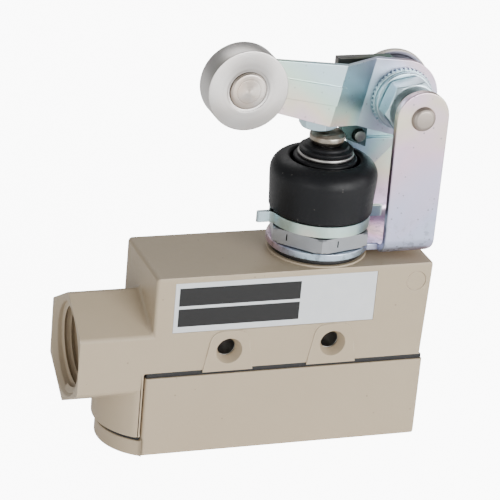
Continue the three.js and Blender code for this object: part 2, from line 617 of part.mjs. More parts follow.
// Hollow threaded hub: the follower and the arm are clamped on it, and it turns on the pin.
function pivotHub() {
  const flange = PLATE_FRONT + PLATE_SHEET + 0.2;
  const bore = PIVOT_PIN_R + 0.05;
  const profile = [[bore, HUB_FRONT], [HUB_R - 0.4, HUB_FRONT], [HUB_R, HUB_FRONT + 0.4], [HUB_R, flange],
    [HUB_FLANGE_R, flange], [HUB_FLANGE_R, HUB_BACK], [bore, HUB_BACK], [bore, HUB_FRONT]];
  return node('pivot_hub', turned(profile, 'y', [PIVOT_X, 0, PIVOT_Z], 40), steel);
}

function contactBolt() {
  const { x, y, bottom } = BOLT;
  const head = hexBlank('z', [x, y, 0], 8, bottom, bottom + 4, 90);
  const shank = chamferedRod('z', [x, y, 0], 2.4, bottom + 2, 86.5, 0.5);
  return node('contact_bolt', join(head, shank), steel);
}

function contactBoltNut() {
  const blank = hexBlank('z', [BOLT.x, BOLT.y, 0], 8, SHELF_Z + 1.8, SHELF_Z + 4.9, 90);
  return node('contact_bolt_nut', cut(blank, rod('z', [BOLT.x, BOLT.y, 0], 2.5, 70, 90)), zincPlate);
}

function stopPin() {
  const { x, z, r } = STOP_PIN;
  return node('stop_pin', chamferedRod('y', [x, 0, z], r, 2.9, BRACKET_BACK - SHEET - 0.4, 0.25, 20), steel);
}

function toothedWasher() {
  const back = ARM_AT_PIVOT - FIT;
  const outline = Array.from({ length: 2 * TEETH }, (_, k) => {
    const radius = k % 2 ? TOOTH_ROOT_R : TOOTH_TIP_R;
    const angle = (Math.PI * k) / TEETH;
    return [PIVOT_X + radius * Math.sin(angle), PIVOT_Z + radius * Math.cos(angle)];
  });
  const disc = prism(outline, 'y', back - 0.9, back);
  return node('toothed_washer', cut(disc, rod('y', [PIVOT_X, 0, PIVOT_Z], HUB_R + 0.1, -20, 20)), zincPlate);
}

function clampWasher() {
  const [front, back] = [WASHER_FRONT, WASHER_FRONT + 1.1];
  const profile = [[HUB_R + 0.1, front], [6.7, front], [7, front + 0.3], [7, back], [HUB_R + 0.1, back],
    [HUB_R + 0.1, front]];
  return node('clamp_washer', turned(profile, 'y', [PIVOT_X, 0, PIVOT_Z]), zincPlate);
}

function clampNut() {
  const back = WASHER_FRONT - FIT;
  const blank = hexBlank('y', [PIVOT_X, 0, PIVOT_Z], 12, back - 4.9, back, 10);
  return node('arm_clamp_nut', cut(blank, rod('y', [PIVOT_X, 0, PIVOT_Z], HUB_R + 0.1, -20, 20)), zincPlate);
}

// ---------------------------------------------------------------- roller arm
// Built about the pivot with the roller towards -x, then turned up to its setting.
const ARM_END_R = 9.1;
const ARM_TIP_R = 5.2;
const RIB = { x0: -38, x1: -15.8, r: 2.3, proud: 0.4 };

// The arm's sheet, stepping forward between two bends in (x, y), moved back by shift.
function joggledSheet(shift) {
  const near = ARM_AT_PIVOT + shift;
  const far = ARM_AT_ROLLER + shift;
  return prism([[12, near], [-8.9, near], [-18.8, far], [-60, far], [-60, far + ARM_SHEET],
    [-18.2, far + ARM_SHEET], [-8.3, near + ARM_SHEET], [12, near + ARM_SHEET]], 'z', -15, 15);
}

// The rib's slot-shaped outline, with ends of radius r.
function ribOutline(r) {
  const outline = [...arc(RIB.x1 - RIB.r, 0, r, -90, 90, 12), ...arc(RIB.x0 + RIB.r, 0, r, 90, 270, 12)];
  return prism(outline, 'y', -8, 8);
}

function rollerArm() {
  // Flat pattern: the common tangents of a large and a small round end.
  const lean = THREE.MathUtils.radToDeg(Math.asin((ARM_END_R - ARM_TIP_R) / ARM_LENGTH));
  const outline = [...arc(0, 0, ARM_END_R, -90 - lean, 90 + lean, 32),
    ...arc(-ARM_LENGTH, 0, ARM_TIP_R, 90 + lean, 270 - lean, 20)];
  const pattern = prism(outline, 'y', -8, 8);
  // The rib stands proud of the front and is hollow behind; it follows the first bend.
  const rib = ribOutline(RIB.r).intersect(joggledSheet(-RIB.proud));
  const ribHollow = ribOutline(RIB.r - 0.5).intersect(joggledSheet(ARM_SHEET - RIB.proud));
  const hubHole = rod('y', [0, 0, 0], HUB_R + 0.2, -10, 10);
  const rivetHole = rod('y', [-ARM_LENGTH, 0, 0], 2.8, -10, 10);
  const arm = cut(join(pattern.intersect(joggledSheet(0)), rib), ribHollow, hubHole, rivetHole);
  return node('roller_arm', arm, zincPlate);
}

const ROLLER_BACK = ARM_AT_ROLLER - 0.5;
const ROLLER_FRONT = ROLLER_BACK - ROLLER_WIDTH;

function roller() {
  const [front, back] = [ROLLER_FRONT, ROLLER_BACK];
  const profile = [[4.45, front + 0.5], [4.95, front], [ROLLER_R - 0.25, front], [ROLLER_R, front + 0.25],
    [ROLLER_R, back - 0.25], [ROLLER_R - 0.25, back], [4.95, back], [4.45, back - 0.5], [4.45, front + 0.5]];
  return node('roller', turned(profile, 'y', [-ARM_LENGTH, 0, 0], 64), steel);
}

// Shouldered rivet: the roller's axle, peened over behind the arm.
function rollerRivet() {
  const behind = ARM_AT_ROLLER + ARM_SHEET;
  const profile = [[0, ROLLER_FRONT - 0.45], [3.6, ROLLER_FRONT - 0.45], [4.2, ROLLER_FRONT],
    [4.2, ARM_AT_ROLLER - 0.1], [2.6, ARM_AT_ROLLER - 0.1], [2.6, behind + 0.1], [3.8, behind + 0.1],
    [3.4, behind + 0.9], [0, behind + 1.1]];
  return node('roller_rivet', turned(profile, 'y', [-ARM_LENGTH, 0, 0], 40), steel);
}

// ---------------------------------------------------------------- assembly
const housing = new THREE.Group();
housing.add(
  caseBody(),
  bottomCover(),
  caseGasket(),
  blockGasket(),
  ...COVER_SCREWS.map(coverScrew),
  labelPlate(),
  mountingSleeve('mounting_sleeve_left', HOLE_X[0]),
  mountingSleeve('mounting_sleeve_right', HOLE_X[1]),
);

const basicSwitch = new THREE.Group();
basicSwitch.add(switchHousing(), switchLid(), switchPin(), snapBlade());
TERMINALS.forEach((spec) => basicSwitch.add(terminal(spec), terminalScrew(spec)));

const head = new THREE.Group();
head.add(
  headSleeve(),
  springRetainer(),
  seatWasher(),
  lockNut(),
  bootClamp(),
  boot(),
  plungerShaft(),
  plungerWasher(),
  plungerSeal(),
  plungerTip(),
  pushButton(),
  spring('return_spring', 4.9, 0.45, 4, RETAINER_TOP + 0.1, COLLAR_Z - 0.1, springSteel),
  spring('overtravel_spring', 1.8, 0.25, 5, 50.2, 55.8, springSteel),
);

const bracket = new THREE.Group();
bracket.add(leverBracket(), pivotPin(), pivotCollar(), pivotDisc(), stopPlate());

const lever = new THREE.Group();
lever.add(
  followerLever(),
  pivotHub(),
  contactBolt(),
  contactBoltNut(),
  stopPin(),
  toothedWasher(),
  clampWasher(),
  clampNut(),
);

const arm = new THREE.Group();
arm.position.set(PIVOT_X, 0, PIVOT_Z);
arm.rotation.y = ARM_RISE;
arm.add(rollerArm(), rollerRivet(), roller());

const limitSwitch = new THREE.Group();
limitSwitch.add(housing, basicSwitch, head, bracket, lever, arm);

export default limitSwitch;
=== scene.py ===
"""Looks for an enclosed limit switch with a sealed plunger head and a roller-arm lever.

Metres, +Z up, in the CAD part's own frame: the origin is the foot of the plunger's axis,
+X runs along the case away from the conduit entry and the label faces -Y.
"""

import json
import math

import bmesh
import bpy
from mathutils import Matrix, Vector

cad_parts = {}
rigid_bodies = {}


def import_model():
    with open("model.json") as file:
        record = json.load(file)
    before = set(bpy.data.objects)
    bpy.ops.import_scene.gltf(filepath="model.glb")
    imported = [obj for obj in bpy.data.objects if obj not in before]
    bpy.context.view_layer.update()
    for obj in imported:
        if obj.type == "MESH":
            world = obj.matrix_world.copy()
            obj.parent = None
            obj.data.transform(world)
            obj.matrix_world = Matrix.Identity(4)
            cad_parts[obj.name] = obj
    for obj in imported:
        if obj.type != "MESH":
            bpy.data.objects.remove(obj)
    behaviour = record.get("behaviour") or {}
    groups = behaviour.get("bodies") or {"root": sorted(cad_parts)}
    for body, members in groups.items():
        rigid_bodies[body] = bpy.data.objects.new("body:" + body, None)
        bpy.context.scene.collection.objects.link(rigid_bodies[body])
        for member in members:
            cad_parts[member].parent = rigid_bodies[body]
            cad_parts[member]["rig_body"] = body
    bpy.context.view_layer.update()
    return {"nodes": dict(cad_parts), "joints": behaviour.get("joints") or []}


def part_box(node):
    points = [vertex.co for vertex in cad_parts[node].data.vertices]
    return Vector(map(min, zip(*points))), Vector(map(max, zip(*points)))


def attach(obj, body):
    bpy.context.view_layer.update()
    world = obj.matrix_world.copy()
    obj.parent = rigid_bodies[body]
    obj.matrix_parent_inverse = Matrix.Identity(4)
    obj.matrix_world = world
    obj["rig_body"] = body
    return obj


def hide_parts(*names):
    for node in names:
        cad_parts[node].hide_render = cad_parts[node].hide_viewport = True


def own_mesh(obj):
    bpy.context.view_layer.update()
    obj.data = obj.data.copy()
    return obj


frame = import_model()

# ------------------------------------------------------------------------------------------
# Die-cast case body: zinc alloy casting, sprayed with a warm beige satin paint. It carries the
# hexagonal conduit boss, the seat for the head and two flared pads round the side holes.
# Its edges are rounded as a casting's are, more at the long outer edges than at small steps.
# ------------------------------------------------------------------------------------------
MM = 0.001


def add(tree, kind, inputs=None, **settings):
    """Adds a node, sets it up, and fills its sockets with values or with other nodes' outputs."""
    made = tree.nodes.new(kind)
    for key, value in settings.items():
        setattr(made, key, value)
    for key, value in (inputs or {}).items():
        if isinstance(value, bpy.types.NodeSocket):
            tree.links.new(value, made.inputs[key])
        else:
            made.inputs[key].default_value = value
    return made


def calculate(tree, operation, first, second=None, third=None):
    """One step of arithmetic; gives its output socket."""
    inputs = {0: first}
    if second is not None:
        inputs[1] = second
    if third is not None:
        inputs[2] = third
    return add(tree, "ShaderNodeMath", inputs, operation=operation).outputs[0]


def clamped(tree, value):
    """A value kept between 0 and 1."""
    return add(tree, "ShaderNodeClamp", {"Value": value}).outputs[0]


def clouds(tree, place, scale, detail):
    """Cloudy noise, as a value round 0.5."""
    made = add(tree, "ShaderNodeTexNoise", {"Vector": place, "Scale": scale, "Detail": detail})
    return made.outputs["Fac"]


def new_group(name, inputs, outputs):
    """A shader node group with its sockets: {"name": (socket type, default)}."""
    group = bpy.data.node_groups.new(name, "ShaderNodeTree")
    for key, (kind, value) in inputs.items():
        socket = group.interface.new_socket(key, in_out="INPUT", socket_type=kind)
        if value is not None:
            socket.default_value = value
    for key, kind in outputs.items():
        group.interface.new_socket(key, in_out="OUTPUT", socket_type=kind)
    return group, group.nodes.new("NodeGroupInput"), group.nodes.new("NodeGroupOutput")


def make_grain():
    """Fine unevenness of a surface, as a value round 0.5."""
    group, given, result = new_group(
        "fine_grain",
        {"Vector": ("NodeSocketVector", None), "Scale": ("NodeSocketFloat", 900.0)},
        {"Value": "NodeSocketFloat"},
    )
    noise = add(group, "ShaderNodeTexNoise", {
        "Vector": given.outputs["Vector"], "Scale": given.outputs["Scale"], "Detail": 4.0, "Roughness": 0.55,
    })
    group.links.new(noise.outputs["Fac"], result.inputs["Value"])
    return group


def make_wear_and_glint():
    """Mask of rubbed outer edges, which on plated parts also paints an edge highlight: where the rounded-off
    normal leaves the true one, broken up by noise.
    """
    group, given, result = new_group(
        "edge_wear_and_glint",
        {"Vector": ("NodeSocketVector", None), "Radius": ("NodeSocketFloat", 0.0004)},
        {"Mask": "NodeSocketFloat"},
    )
    bevel = add(group, "ShaderNodeBevel", {"Radius": given.outputs["Radius"]}, samples=4)
    true_normal = add(group, "ShaderNodeNewGeometry").outputs["Normal"]
    facing = add(group, "ShaderNodeVectorMath", {0: bevel.outputs[0], 1: true_normal},
                 operation="DOT_PRODUCT")
    edge = calculate(group, "SUBTRACT", 1.0, facing.outputs["Value"])
    broken = calculate(group, "SUBTRACT", clouds(group, given.outputs["Vector"], 260.0, 5.0), 0.46)
    strong = calculate(group, "MULTIPLY", calculate(group, "MULTIPLY", edge, broken), 40.0)
    group.links.new(clamped(group, strong), result.inputs["Mask"])
    return group


def make_dust():
    """Mask of settled dust: faces that look up, in patches."""
    group, given, result = new_group(
        "settled_dust",
        {"Vector": ("NodeSocketVector", None), "Amount": ("NodeSocketFloat", 0.2)},
        {"Mask": "NodeSocketFloat"},
    )
    split = add(group, "ShaderNodeSeparateXYZ", {0: add(group, "ShaderNodeNewGeometry").outputs["Normal"]})
    upward = clamped(group, calculate(group, "MULTIPLY_ADD", split.outputs["Z"], 1.4, -0.4))
    patchy = calculate(group, "MULTIPLY", upward, clouds(group, given.outputs["Vector"], 140.0, 6.0))
    mask = calculate(group, "MULTIPLY", patchy, given.outputs["Amount"])
    group.links.new(mask, result.inputs["Mask"])
    return group


def make_specks():
    """Mask of small scattered marks, such as pores and grit in a finish."""
    group, given, result = new_group(
        "small_specks",
        {"Vector": ("NodeSocketVector", None), "Scale": ("NodeSocketFloat", 500.0),
         "Size": ("NodeSocketFloat", 0.12)},
        {"Mask": "NodeSocketFloat"},
    )
    cells = add(group, "ShaderNodeTexVoronoi", {
        "Vector": given.outputs["Vector"], "Scale": given.outputs["Scale"],
    })
    near = calculate(group, "LESS_THAN", cells.outputs["Distance"], given.outputs["Size"])
    colour = add(group, "ShaderNodeSeparateColor", {0: cells.outputs["Color"]})
    chosen = calculate(group, "GREATER_THAN", colour.outputs[0], 0.86)
    group.links.new(calculate(group, "MULTIPLY", near, chosen), result.inputs["Mask"])
    return group


GRAIN = make_grain()
WEAR_AND_GLINT = make_wear_and_glint()
DUST = make_dust()
SPECKS = make_specks()


def use(tree, group, **inputs):
    """An instance of a shader node group."""
    made = tree.nodes.new("ShaderNodeGroup")
    made.node_tree = group
    for key, value in inputs.items():
        if isinstance(value, bpy.types.NodeSocket):
            tree.links.new(value, made.inputs[key])
        else:
            made.inputs[key].default_value = value
    return made


def grain(tree, place, scale):
    """Fine unevenness of that scale at a place."""
    return use(tree, GRAIN, Vector=place, Scale=scale).outputs[0]


def new_material(name, roughness, metallic):
    """A material with its Principled shader; gives (material, tree, shader, object coordinates)."""
    material = bpy.data.materials.new(name)
    material.use_nodes = True
    tree = material.node_tree
    shader = tree.nodes["Principled BSDF"]
    shader.inputs["Roughness"].default_value = roughness
    shader.inputs["Metallic"].default_value = metallic
    place = add(tree, "ShaderNodeTexCoord").outputs["Object"]
    return material, tree, shader, place


def linear(red, green, blue):
    """A colour given as it is seen on a screen, 0-255, as linear values for a shader."""
    values = [v / 255 for v in (red, green, blue)]
    return (*[v / 12.92 if v <= 0.04045 else ((v + 0.055) / 1.055) ** 2.4 for v in values], 1.0)


def mix(tree, factor, first, second):
    """Blend of two colours."""
    made = add(tree, "ShaderNodeMix", {0: factor, 6: first, 7: second}, data_type="RGBA")
    return made.outputs[2]


def bump(tree, shader, height, distance, strength=1.0):
    """Small relief in a finish."""
    made = add(tree, "ShaderNodeBump", {"Height": height, "Distance": distance, "Strength": strength})
    tree.links.new(made.outputs[0], shader.inputs["Normal"])


def finish(tree, shader, colour, fine, spread, least, relief, strength):
    """Ends a finish: its colour, and its fine unevenness in roughness and relief."""
    tree.links.new(colour, shader.inputs["Base Color"])
    tree.links.new(calculate(tree, "MULTIPLY_ADD", fine, spread, least), shader.inputs["Roughness"])
    bump(tree, shader, fine, relief, strength)


def case_paint():
    """Warm beige satin paint: a little dust, fine pores and paler rubbed edges."""
    material, tree, shader, place = new_material("beige_case_paint", 0.5, 0.0)
    broad = grain(tree, place, 45.0)
    paint = mix(tree, broad, linear(168, 152, 127), linear(176, 160, 136))
    dusty = use(tree, DUST, Vector=place, Amount=0.1).outputs[0]
    paint = mix(tree, dusty, paint, linear(150, 143, 130))
    specks = use(tree, SPECKS, Vector=place, Scale=420.0, Size=0.1).outputs[0]
    paint = mix(tree, calculate(tree, "MULTIPLY", specks, 0.35), paint, linear(92, 82, 70))
    wear_and_glint_mask = use(tree, WEAR_AND_GLINT, Vector=place, Radius=0.0005).outputs[0]
    paint = mix(tree, calculate(tree, "MULTIPLY", wear_and_glint_mask, 0.45), paint, linear(205, 192, 170))
    finish(tree, shader, paint, grain(tree, place, 1500.0), 0.22, 0.4, 0.06 * MM, 0.5)
    return material


def new_object(name, data):
    """An object in the scene that shows some data."""
    made = bpy.data.objects.new(name, data)
    bpy.context.scene.collection.objects.link(made)
    return made


def settle(piece, body, slot, *nodes):
    """Puts a finished piece in place of its CAD nodes, on their body; the slot is not used."""
    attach(piece, body)
    if nodes:
        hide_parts(*nodes)
    return piece


def plain_mesh(piece):
    """Bakes a piece's modifiers into a plain mesh."""
    graph = bpy.context.evaluated_depsgraph_get()
    baked = bpy.data.meshes.new_from_object(piece.evaluated_get(graph), depsgraph=graph)
    piece.modifiers.clear()
    piece.data = baked
    return piece


def body_of_node(node):
    """The CAD body that a node belongs to."""
    return frame["nodes"][node]["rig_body"]


FLAT_ANGLE = math.radians(0.6)  # faces that meet within this are one flat region
NEARLY_FLAT = math.cos(FLAT_ANGLE)
SAME_CURVE = math.cos(math.radians(32))  # faces that meet within this are shaded as one curve
ROUNDED_FOLD = math.radians(28)  # edges that fold more than this are rounded


def region_areas(mesh):
    """For each face the area of the whole flat region it is part of."""
    shape = bmesh.new()
    shape.from_mesh(mesh)
    areas = [0.0] * len(shape.faces)
    seen = set()
    for start in shape.faces:
        if start.index in seen:
            continue
        seen.add(start.index)
        region = [start]
        for face in region:
            for edge in face.edges:
                for other in edge.link_faces:
                    if other.index not in seen and face.normal.dot(other.normal) > NEARLY_FLAT:
                        seen.add(other.index)
                        region.append(other)
        total = sum(face.calc_area() for face in region)
        for face in region:
            areas[face.index] = total
    shape.free()
    return areas


def flat_faced_normals(mesh):
    """Corner normals that keep flat faces flat and let the rounded edges run smoothly into them."""
    mesh.shade_smooth()
    areas = region_areas(mesh)
    around = [[] for _ in mesh.vertices]
    for face in mesh.polygons:
        for vertex in face.vertices:
            around[vertex].append(face)
    normals = []
    for face in mesh.polygons:
        for vertex in face.vertices:
            mean = Vector()
            for other in around[vertex]:
                if face.normal.dot(other.normal) > SAME_CURVE:
                    mean += other.normal * areas[other.index]
            normals.append(mean.normalized() if mean.length > 0 else face.normal.copy())
    mesh.normals_split_custom_set(normals)


def refined(node, material, slot, width=0.2 * MM, rule=None, segments=3, merge=True):
    """A CAD node's own shape with its edges rounded. A rule can widen or narrow
    the rounding of an edge by its middle, length and fold angle: it gives a share of width."""
    mesh = frame["nodes"][node].data.copy()
    shape = bmesh.new()
    shape.from_mesh(mesh)
    bmesh.ops.remove_doubles(shape, verts=shape.verts, dist=0.002 * MM)
    if merge:
        bmesh.ops.dissolve_limit(shape, angle_limit=FLAT_ANGLE, verts=shape.verts, edges=shape.edges)
    bmesh.ops.recalc_face_normals(shape, faces=shape.faces)
    weights = shape.edges.layers.float.new("bevel_weight_edge")
    for edge in shape.edges:
        if len(edge.link_faces) != 2 or edge.calc_face_angle(0) < ROUNDED_FOLD:
            continue
        middle = (edge.verts[0].co + edge.verts[1].co) / 2
        edge[weights] = 1.0 if rule is None else rule(middle, edge.calc_length(), edge.calc_face_angle(0))
    shape.to_mesh(mesh)
    shape.free()
    mesh.materials.clear()
    mesh.materials.append(material)
    piece = new_object(node + "_piece", mesh)
    rounding = piece.modifiers.new("rounding", "BEVEL")
    rounding.limit_method = "WEIGHT"
    rounding.width = width
    rounding.segments = segments
    rounding.use_clamp_overlap = False
    plain_mesh(piece)
    flat_faced_normals(piece.data)
    return settle(piece, body_of_node(node), slot, node)


CASE_PAINT = case_paint()
FRONT_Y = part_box("bottom_cover")[0].y
SPLIT_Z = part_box("case_gasket")[1].z
CASE_TOP_Z = 45 * MM
PAD_TOP_Z = 31.3 * MM
PADS_LEFT_X = -32 * MM
LABEL_POCKET_X = (-38.2 * MM, 11.4 * MM)
CONDUIT_MOUTH_X = -58.9 * MM
SHORT_EDGE = 2.4 * MM


def case_rounding(middle, length, fold):
    """Share of the case body's edge rounding: full on long outer edges, little on small steps."""
    at_pad_height = SPLIT_Z - 1 * MM < middle.z < PAD_TOP_Z
    if at_pad_height and middle.y < FRONT_Y + 0.1 * MM and middle.x > PADS_LEFT_X:
        return 0.13
    at_pocket_height = 31 * MM < middle.z < CASE_TOP_Z - 1 * MM
    if at_pocket_height and middle.y < FRONT_Y + 1 * MM and LABEL_POCKET_X[0] < middle.x < LABEL_POCKET_X[1]:
        return 0.16
    if length < SHORT_EDGE or middle.x < CONDUIT_MOUTH_X:
        return 0.2
    if middle.z < SPLIT_Z + 0.2 * MM and middle.x > -42 * MM:
        return 0.3
    blind_end = middle.x > 24 * MM and abs(middle.y) > 11.5 * MM
    if blind_end and middle.z < CASE_TOP_Z - 1 * MM:
        return 1.8
    return 1.0


refined("case_body", CASE_PAINT, "cast_paint", 0.8 * MM, case_rounding, 4)

# ------------------------------------------------------------------------------------------
# Bottom cover: a second casting in the same paint, screwed on from below. Its upper rim is
# crisp against the gasket, and its lower and upright edges are rounded.
# ------------------------------------------------------------------------------------------


def cover_rounding(middle, length, fold):
    """Share of the cover's edge rounding: less at the gasket and on short edges."""
    if middle.z > 19 * MM or length < SHORT_EDGE:
        return 0.35
    return 1.0


refined("bottom_cover", CASE_PAINT, "cast_paint", 0.7 * MM, cover_rounding, 4)

# ------------------------------------------------------------------------------------------
# Conduit thread: the parallel pipe thread cut in the boss. A ridge of triangular section
# follows a helix along the bore. The same tree winds screw threads and coil springs.
# ------------------------------------------------------------------------------------------


def new_tree(name, inputs):
    """A geometry node tree with named inputs: {"name": (socket type, default)}."""
    tree = bpy.data.node_groups.new(name, "GeometryNodeTree")
    tree.interface.new_socket("Geometry", in_out="INPUT", socket_type="NodeSocketGeometry")
    for key, (kind, value) in inputs.items():
        socket = tree.interface.new_socket(key, in_out="INPUT", socket_type=kind)
        if value is not None:
            socket.default_value = value
    tree.interface.new_socket("Geometry", in_out="OUTPUT", socket_type="NodeSocketGeometry")
    return tree, tree.nodes.new("NodeGroupInput"), tree.nodes.new("NodeGroupOutput")


def close_tree(tree, given, result, geometry):
    """Ends a tree: real geometry, then its material."""
    real = add(tree, "GeometryNodeRealizeInstances", {0: geometry})
    painted = add(tree, "GeometryNodeSetMaterial", {
        "Geometry": real.outputs[0], "Material": given.outputs["Material"],
    })
    tree.links.new(painted.outputs[0], result.inputs[0])


def run_tree(name, tree, inputs, host=None):
    """Runs a tree on a mesh of its own and gives the plain mesh it makes, as an object."""
    piece = new_object(name, host or bpy.data.meshes.new(name))
    maker = piece.modifiers.new("maker", "NODES")
    maker.node_group = tree
    for item in tree.interface.items_tree:
        if item.in_out == "INPUT" and item.name in inputs:
            maker[item.identifier] = inputs[item.name]
    plain_mesh(piece)
    return piece


def make_helix_tree():
    """Sweeps a round or few-sided wire along a helix about the Z axis."""
    tree, given, result = new_tree("helix", {
        "Turns": ("NodeSocketFloat", 5.0),
        "Radius": ("NodeSocketFloat", 5 * MM),
        "Length": ("NodeSocketFloat", 5 * MM),
        "Steps per Turn": ("NodeSocketInt", 48),
        "Wire Radius": ("NodeSocketFloat", 0.5 * MM),
        "Wire Sides": ("NodeSocketInt", 3),
        "Material": ("NodeSocketMaterial", None),
    })
    helix = add(tree, "GeometryNodeCurveSpiral", {
        "Resolution": given.outputs["Steps per Turn"], "Rotations": given.outputs["Turns"],
        "Start Radius": given.outputs["Radius"], "End Radius": given.outputs["Radius"],
        "Height": given.outputs["Length"],
    })
    wire = add(tree, "GeometryNodeCurvePrimitiveCircle", {
        "Resolution": given.outputs["Wire Sides"], "Radius": given.outputs["Wire Radius"],
    })
    swept = add(tree, "GeometryNodeCurveToMesh", {
        "Curve": helix.outputs[0], "Profile Curve": wire.outputs[0], "Fill Caps": True,
    })
    close_tree(tree, given, result, swept.outputs[0])
    return tree


HELIX = make_helix_tree()
AXES = {
    "z": Matrix.Identity(4),
    "y": Matrix.Rotation(math.radians(-90), 4, "X"),
    "x": Matrix.Rotation(math.radians(90), 4, "Y"),
}


def cleaned(piece, sharp=35):
    """Merges seams and poles, turns every face outwards and shades by angle."""
    shape = bmesh.new()
    shape.from_mesh(piece.data)
    bmesh.ops.remove_doubles(shape, verts=shape.verts, dist=0.001 * MM)
    bmesh.ops.dissolve_degenerate(shape, edges=shape.edges, dist=0.0005 * MM)
    bmesh.ops.recalc_face_normals(shape, faces=shape.faces)
    shape.to_mesh(piece.data)
    shape.free()
    piece.data.shade_smooth()
    piece.data.set_sharp_from_angle(angle=math.radians(sharp))
    return piece


def wound(name, axis, start, turns, radius, length, wire, sides, material, steps=48, sharp=35):
    """A helix of wire or thread ridge that begins at start and runs along the axis."""
    piece = run_tree(name, HELIX, {
        "Turns": turns, "Radius": radius, "Length": length, "Steps per Turn": steps,
        "Wire Radius": wire, "Wire Sides": sides, "Material": material,
    })
    piece.data.transform(Matrix.Translation(start) @ AXES[axis])
    return cleaned(piece, sharp)


CONDUIT_CENTRE_Z = 23.8 * MM
conduit_thread = wound("conduit_thread", "x", Vector((-58.2 * MM, 0, CONDUIT_CENTRE_Z)), 5.6, 10.3 * MM,
                       10.2 * MM, 0.85 * MM, 3, CASE_PAINT, 56)
settle(conduit_thread, "case", "cast_paint")

# ------------------------------------------------------------------------------------------
# Gaskets: black nitrile sheet, pinched between the two castings and under the conduit block.
# ------------------------------------------------------------------------------------------


def rubber(name, shade, roughness, scale, relief):
    """Black moulded material with a dusty bloom and stray specks."""
    material, tree, shader, place = new_material(name, roughness, 0.0)
    broad = grain(tree, place, scale)
    dark = mix(tree, broad, linear(*shade), linear(*[v * 1.35 for v in shade]))
    dusty = use(tree, DUST, Vector=place, Amount=0.08).outputs[0]
    dark = mix(tree, dusty, dark, linear(70, 70, 72))
    specks = use(tree, SPECKS, Vector=place, Scale=700.0, Size=0.13).outputs[0]
    dark = mix(tree, calculate(tree, "MULTIPLY", specks, 0.2), dark, linear(120, 118, 114))
    finish(tree, shader, dark, grain(tree, place, 1300.0), 0.25, roughness - 0.12, relief, 0.6)
    return material


GASKET_RUBBER = rubber("black_gasket_rubber", (10, 10, 11), 0.55, 60.0, 0.00003)
refined("case_gasket", GASKET_RUBBER, "black_rubber", 0.25 * MM)
refined("block_gasket", GASKET_RUBBER, "black_rubber", 0.25 * MM)

# ------------------------------------------------------------------------------------------
# Label plate: thin anodised aluminium foil, silver-white with two black printed bars at its
# left, let into the case's front face. It carries no lettering.
# ------------------------------------------------------------------------------------------


def inside(tree, split, low, high, soft=0.00004):
    """Mask of a rectangle in the front face's plane, (x, z) from low to high, with soft edges."""
    mask = None
    for axis, a, b in (("X", low[0], high[0]), ("Z", low[1], high[1])):
        value = split.outputs[axis]
        for edge, sign in ((a, 1), (b, -1)):
            distance = calculate(tree, "MULTIPLY", calculate(tree, "SUBTRACT", value, edge), sign / soft)
            step = clamped(tree, distance)
            mask = step if mask is None else calculate(tree, "MULTIPLY", mask, step)
    return mask


def label_foil():
    """Silver-white foil with two black printed bars."""
    material, tree, shader, place = new_material("label_foil", 0.38, 0.25)
    split = add(tree, "ShaderNodeSeparateXYZ", {0: place})
    upper = inside(tree, split, (-36.75 * MM, 37.85 * MM), (-7.45 * MM, 42.35 * MM))
    lower = inside(tree, split, (-36.75 * MM, 32.7 * MM), (-7.45 * MM, 37.15 * MM))
    bars = calculate(tree, "MAXIMUM", upper, lower)
    mottle = grain(tree, place, 260.0)
    foil = mix(tree, mottle, linear(206, 210, 213), linear(220, 223, 225))
    colour = mix(tree, bars, foil, linear(6, 6, 7))
    tree.links.new(colour, shader.inputs["Base Color"])
    tree.links.new(calculate(tree, "MULTIPLY_ADD", bars, -0.25, 0.25), shader.inputs["Metallic"])
    fine = grain(tree, place, 2500.0)
    bump(tree, shader, fine, 0.01 * MM, 0.4)
    return material


LABEL_FOIL = label_foil()
label = refined("label_plate", LABEL_FOIL, "label_foil", 0.08 * MM)
label_low, label_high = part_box("label_plate")
label_centre = (label_low + label_high) / 2
POCKET_GAP = 0.26 * MM
fill = Matrix.Diagonal((1 + 2 * POCKET_GAP / (label_high.x - label_low.x), 1,
                        1 + 2 * POCKET_GAP / (label_high.z - label_low.z), 1))
label.data.transform(Matrix.Translation(label_centre) @ fill @ Matrix.Translation(-label_centre))

# ------------------------------------------------------------------------------------------
# Machined steel: screws, sleeves, springs' seats and the plunger are turned or drawn bare steel.
# Turned pieces come from one tree that carries an outline round its axis; the outline's
# corners are broken with small rounds.
# ------------------------------------------------------------------------------------------


def metal(name, shade, roughness, scale=700.0, patch_tint=None, patch_tint_amount=0.0):
    """Plain worked metal, with patches of a second shade where they are given: stains on most pieces, painted
    reflection on the stop pin.
    """
    material, tree, shader, place = new_material(name, roughness, 1.0)
    broad = grain(tree, place, 90.0)
    colour = mix(tree, broad, linear(*[v * 0.94 for v in shade]), linear(*shade))
    if patch_tint:
        patches = grain(tree, place, 240.0)
        tint_patches = clamped(tree, calculate(tree, "MULTIPLY_ADD", patches, 5.0, -2.3))
        colour = mix(tree, calculate(tree, "MULTIPLY", tint_patches, patch_tint_amount), colour, linear(*patch_tint))
    finish(tree, shader, colour, grain(tree, place, scale), 0.2, roughness - 0.1, 0.01 * MM, 0.35)
    return material


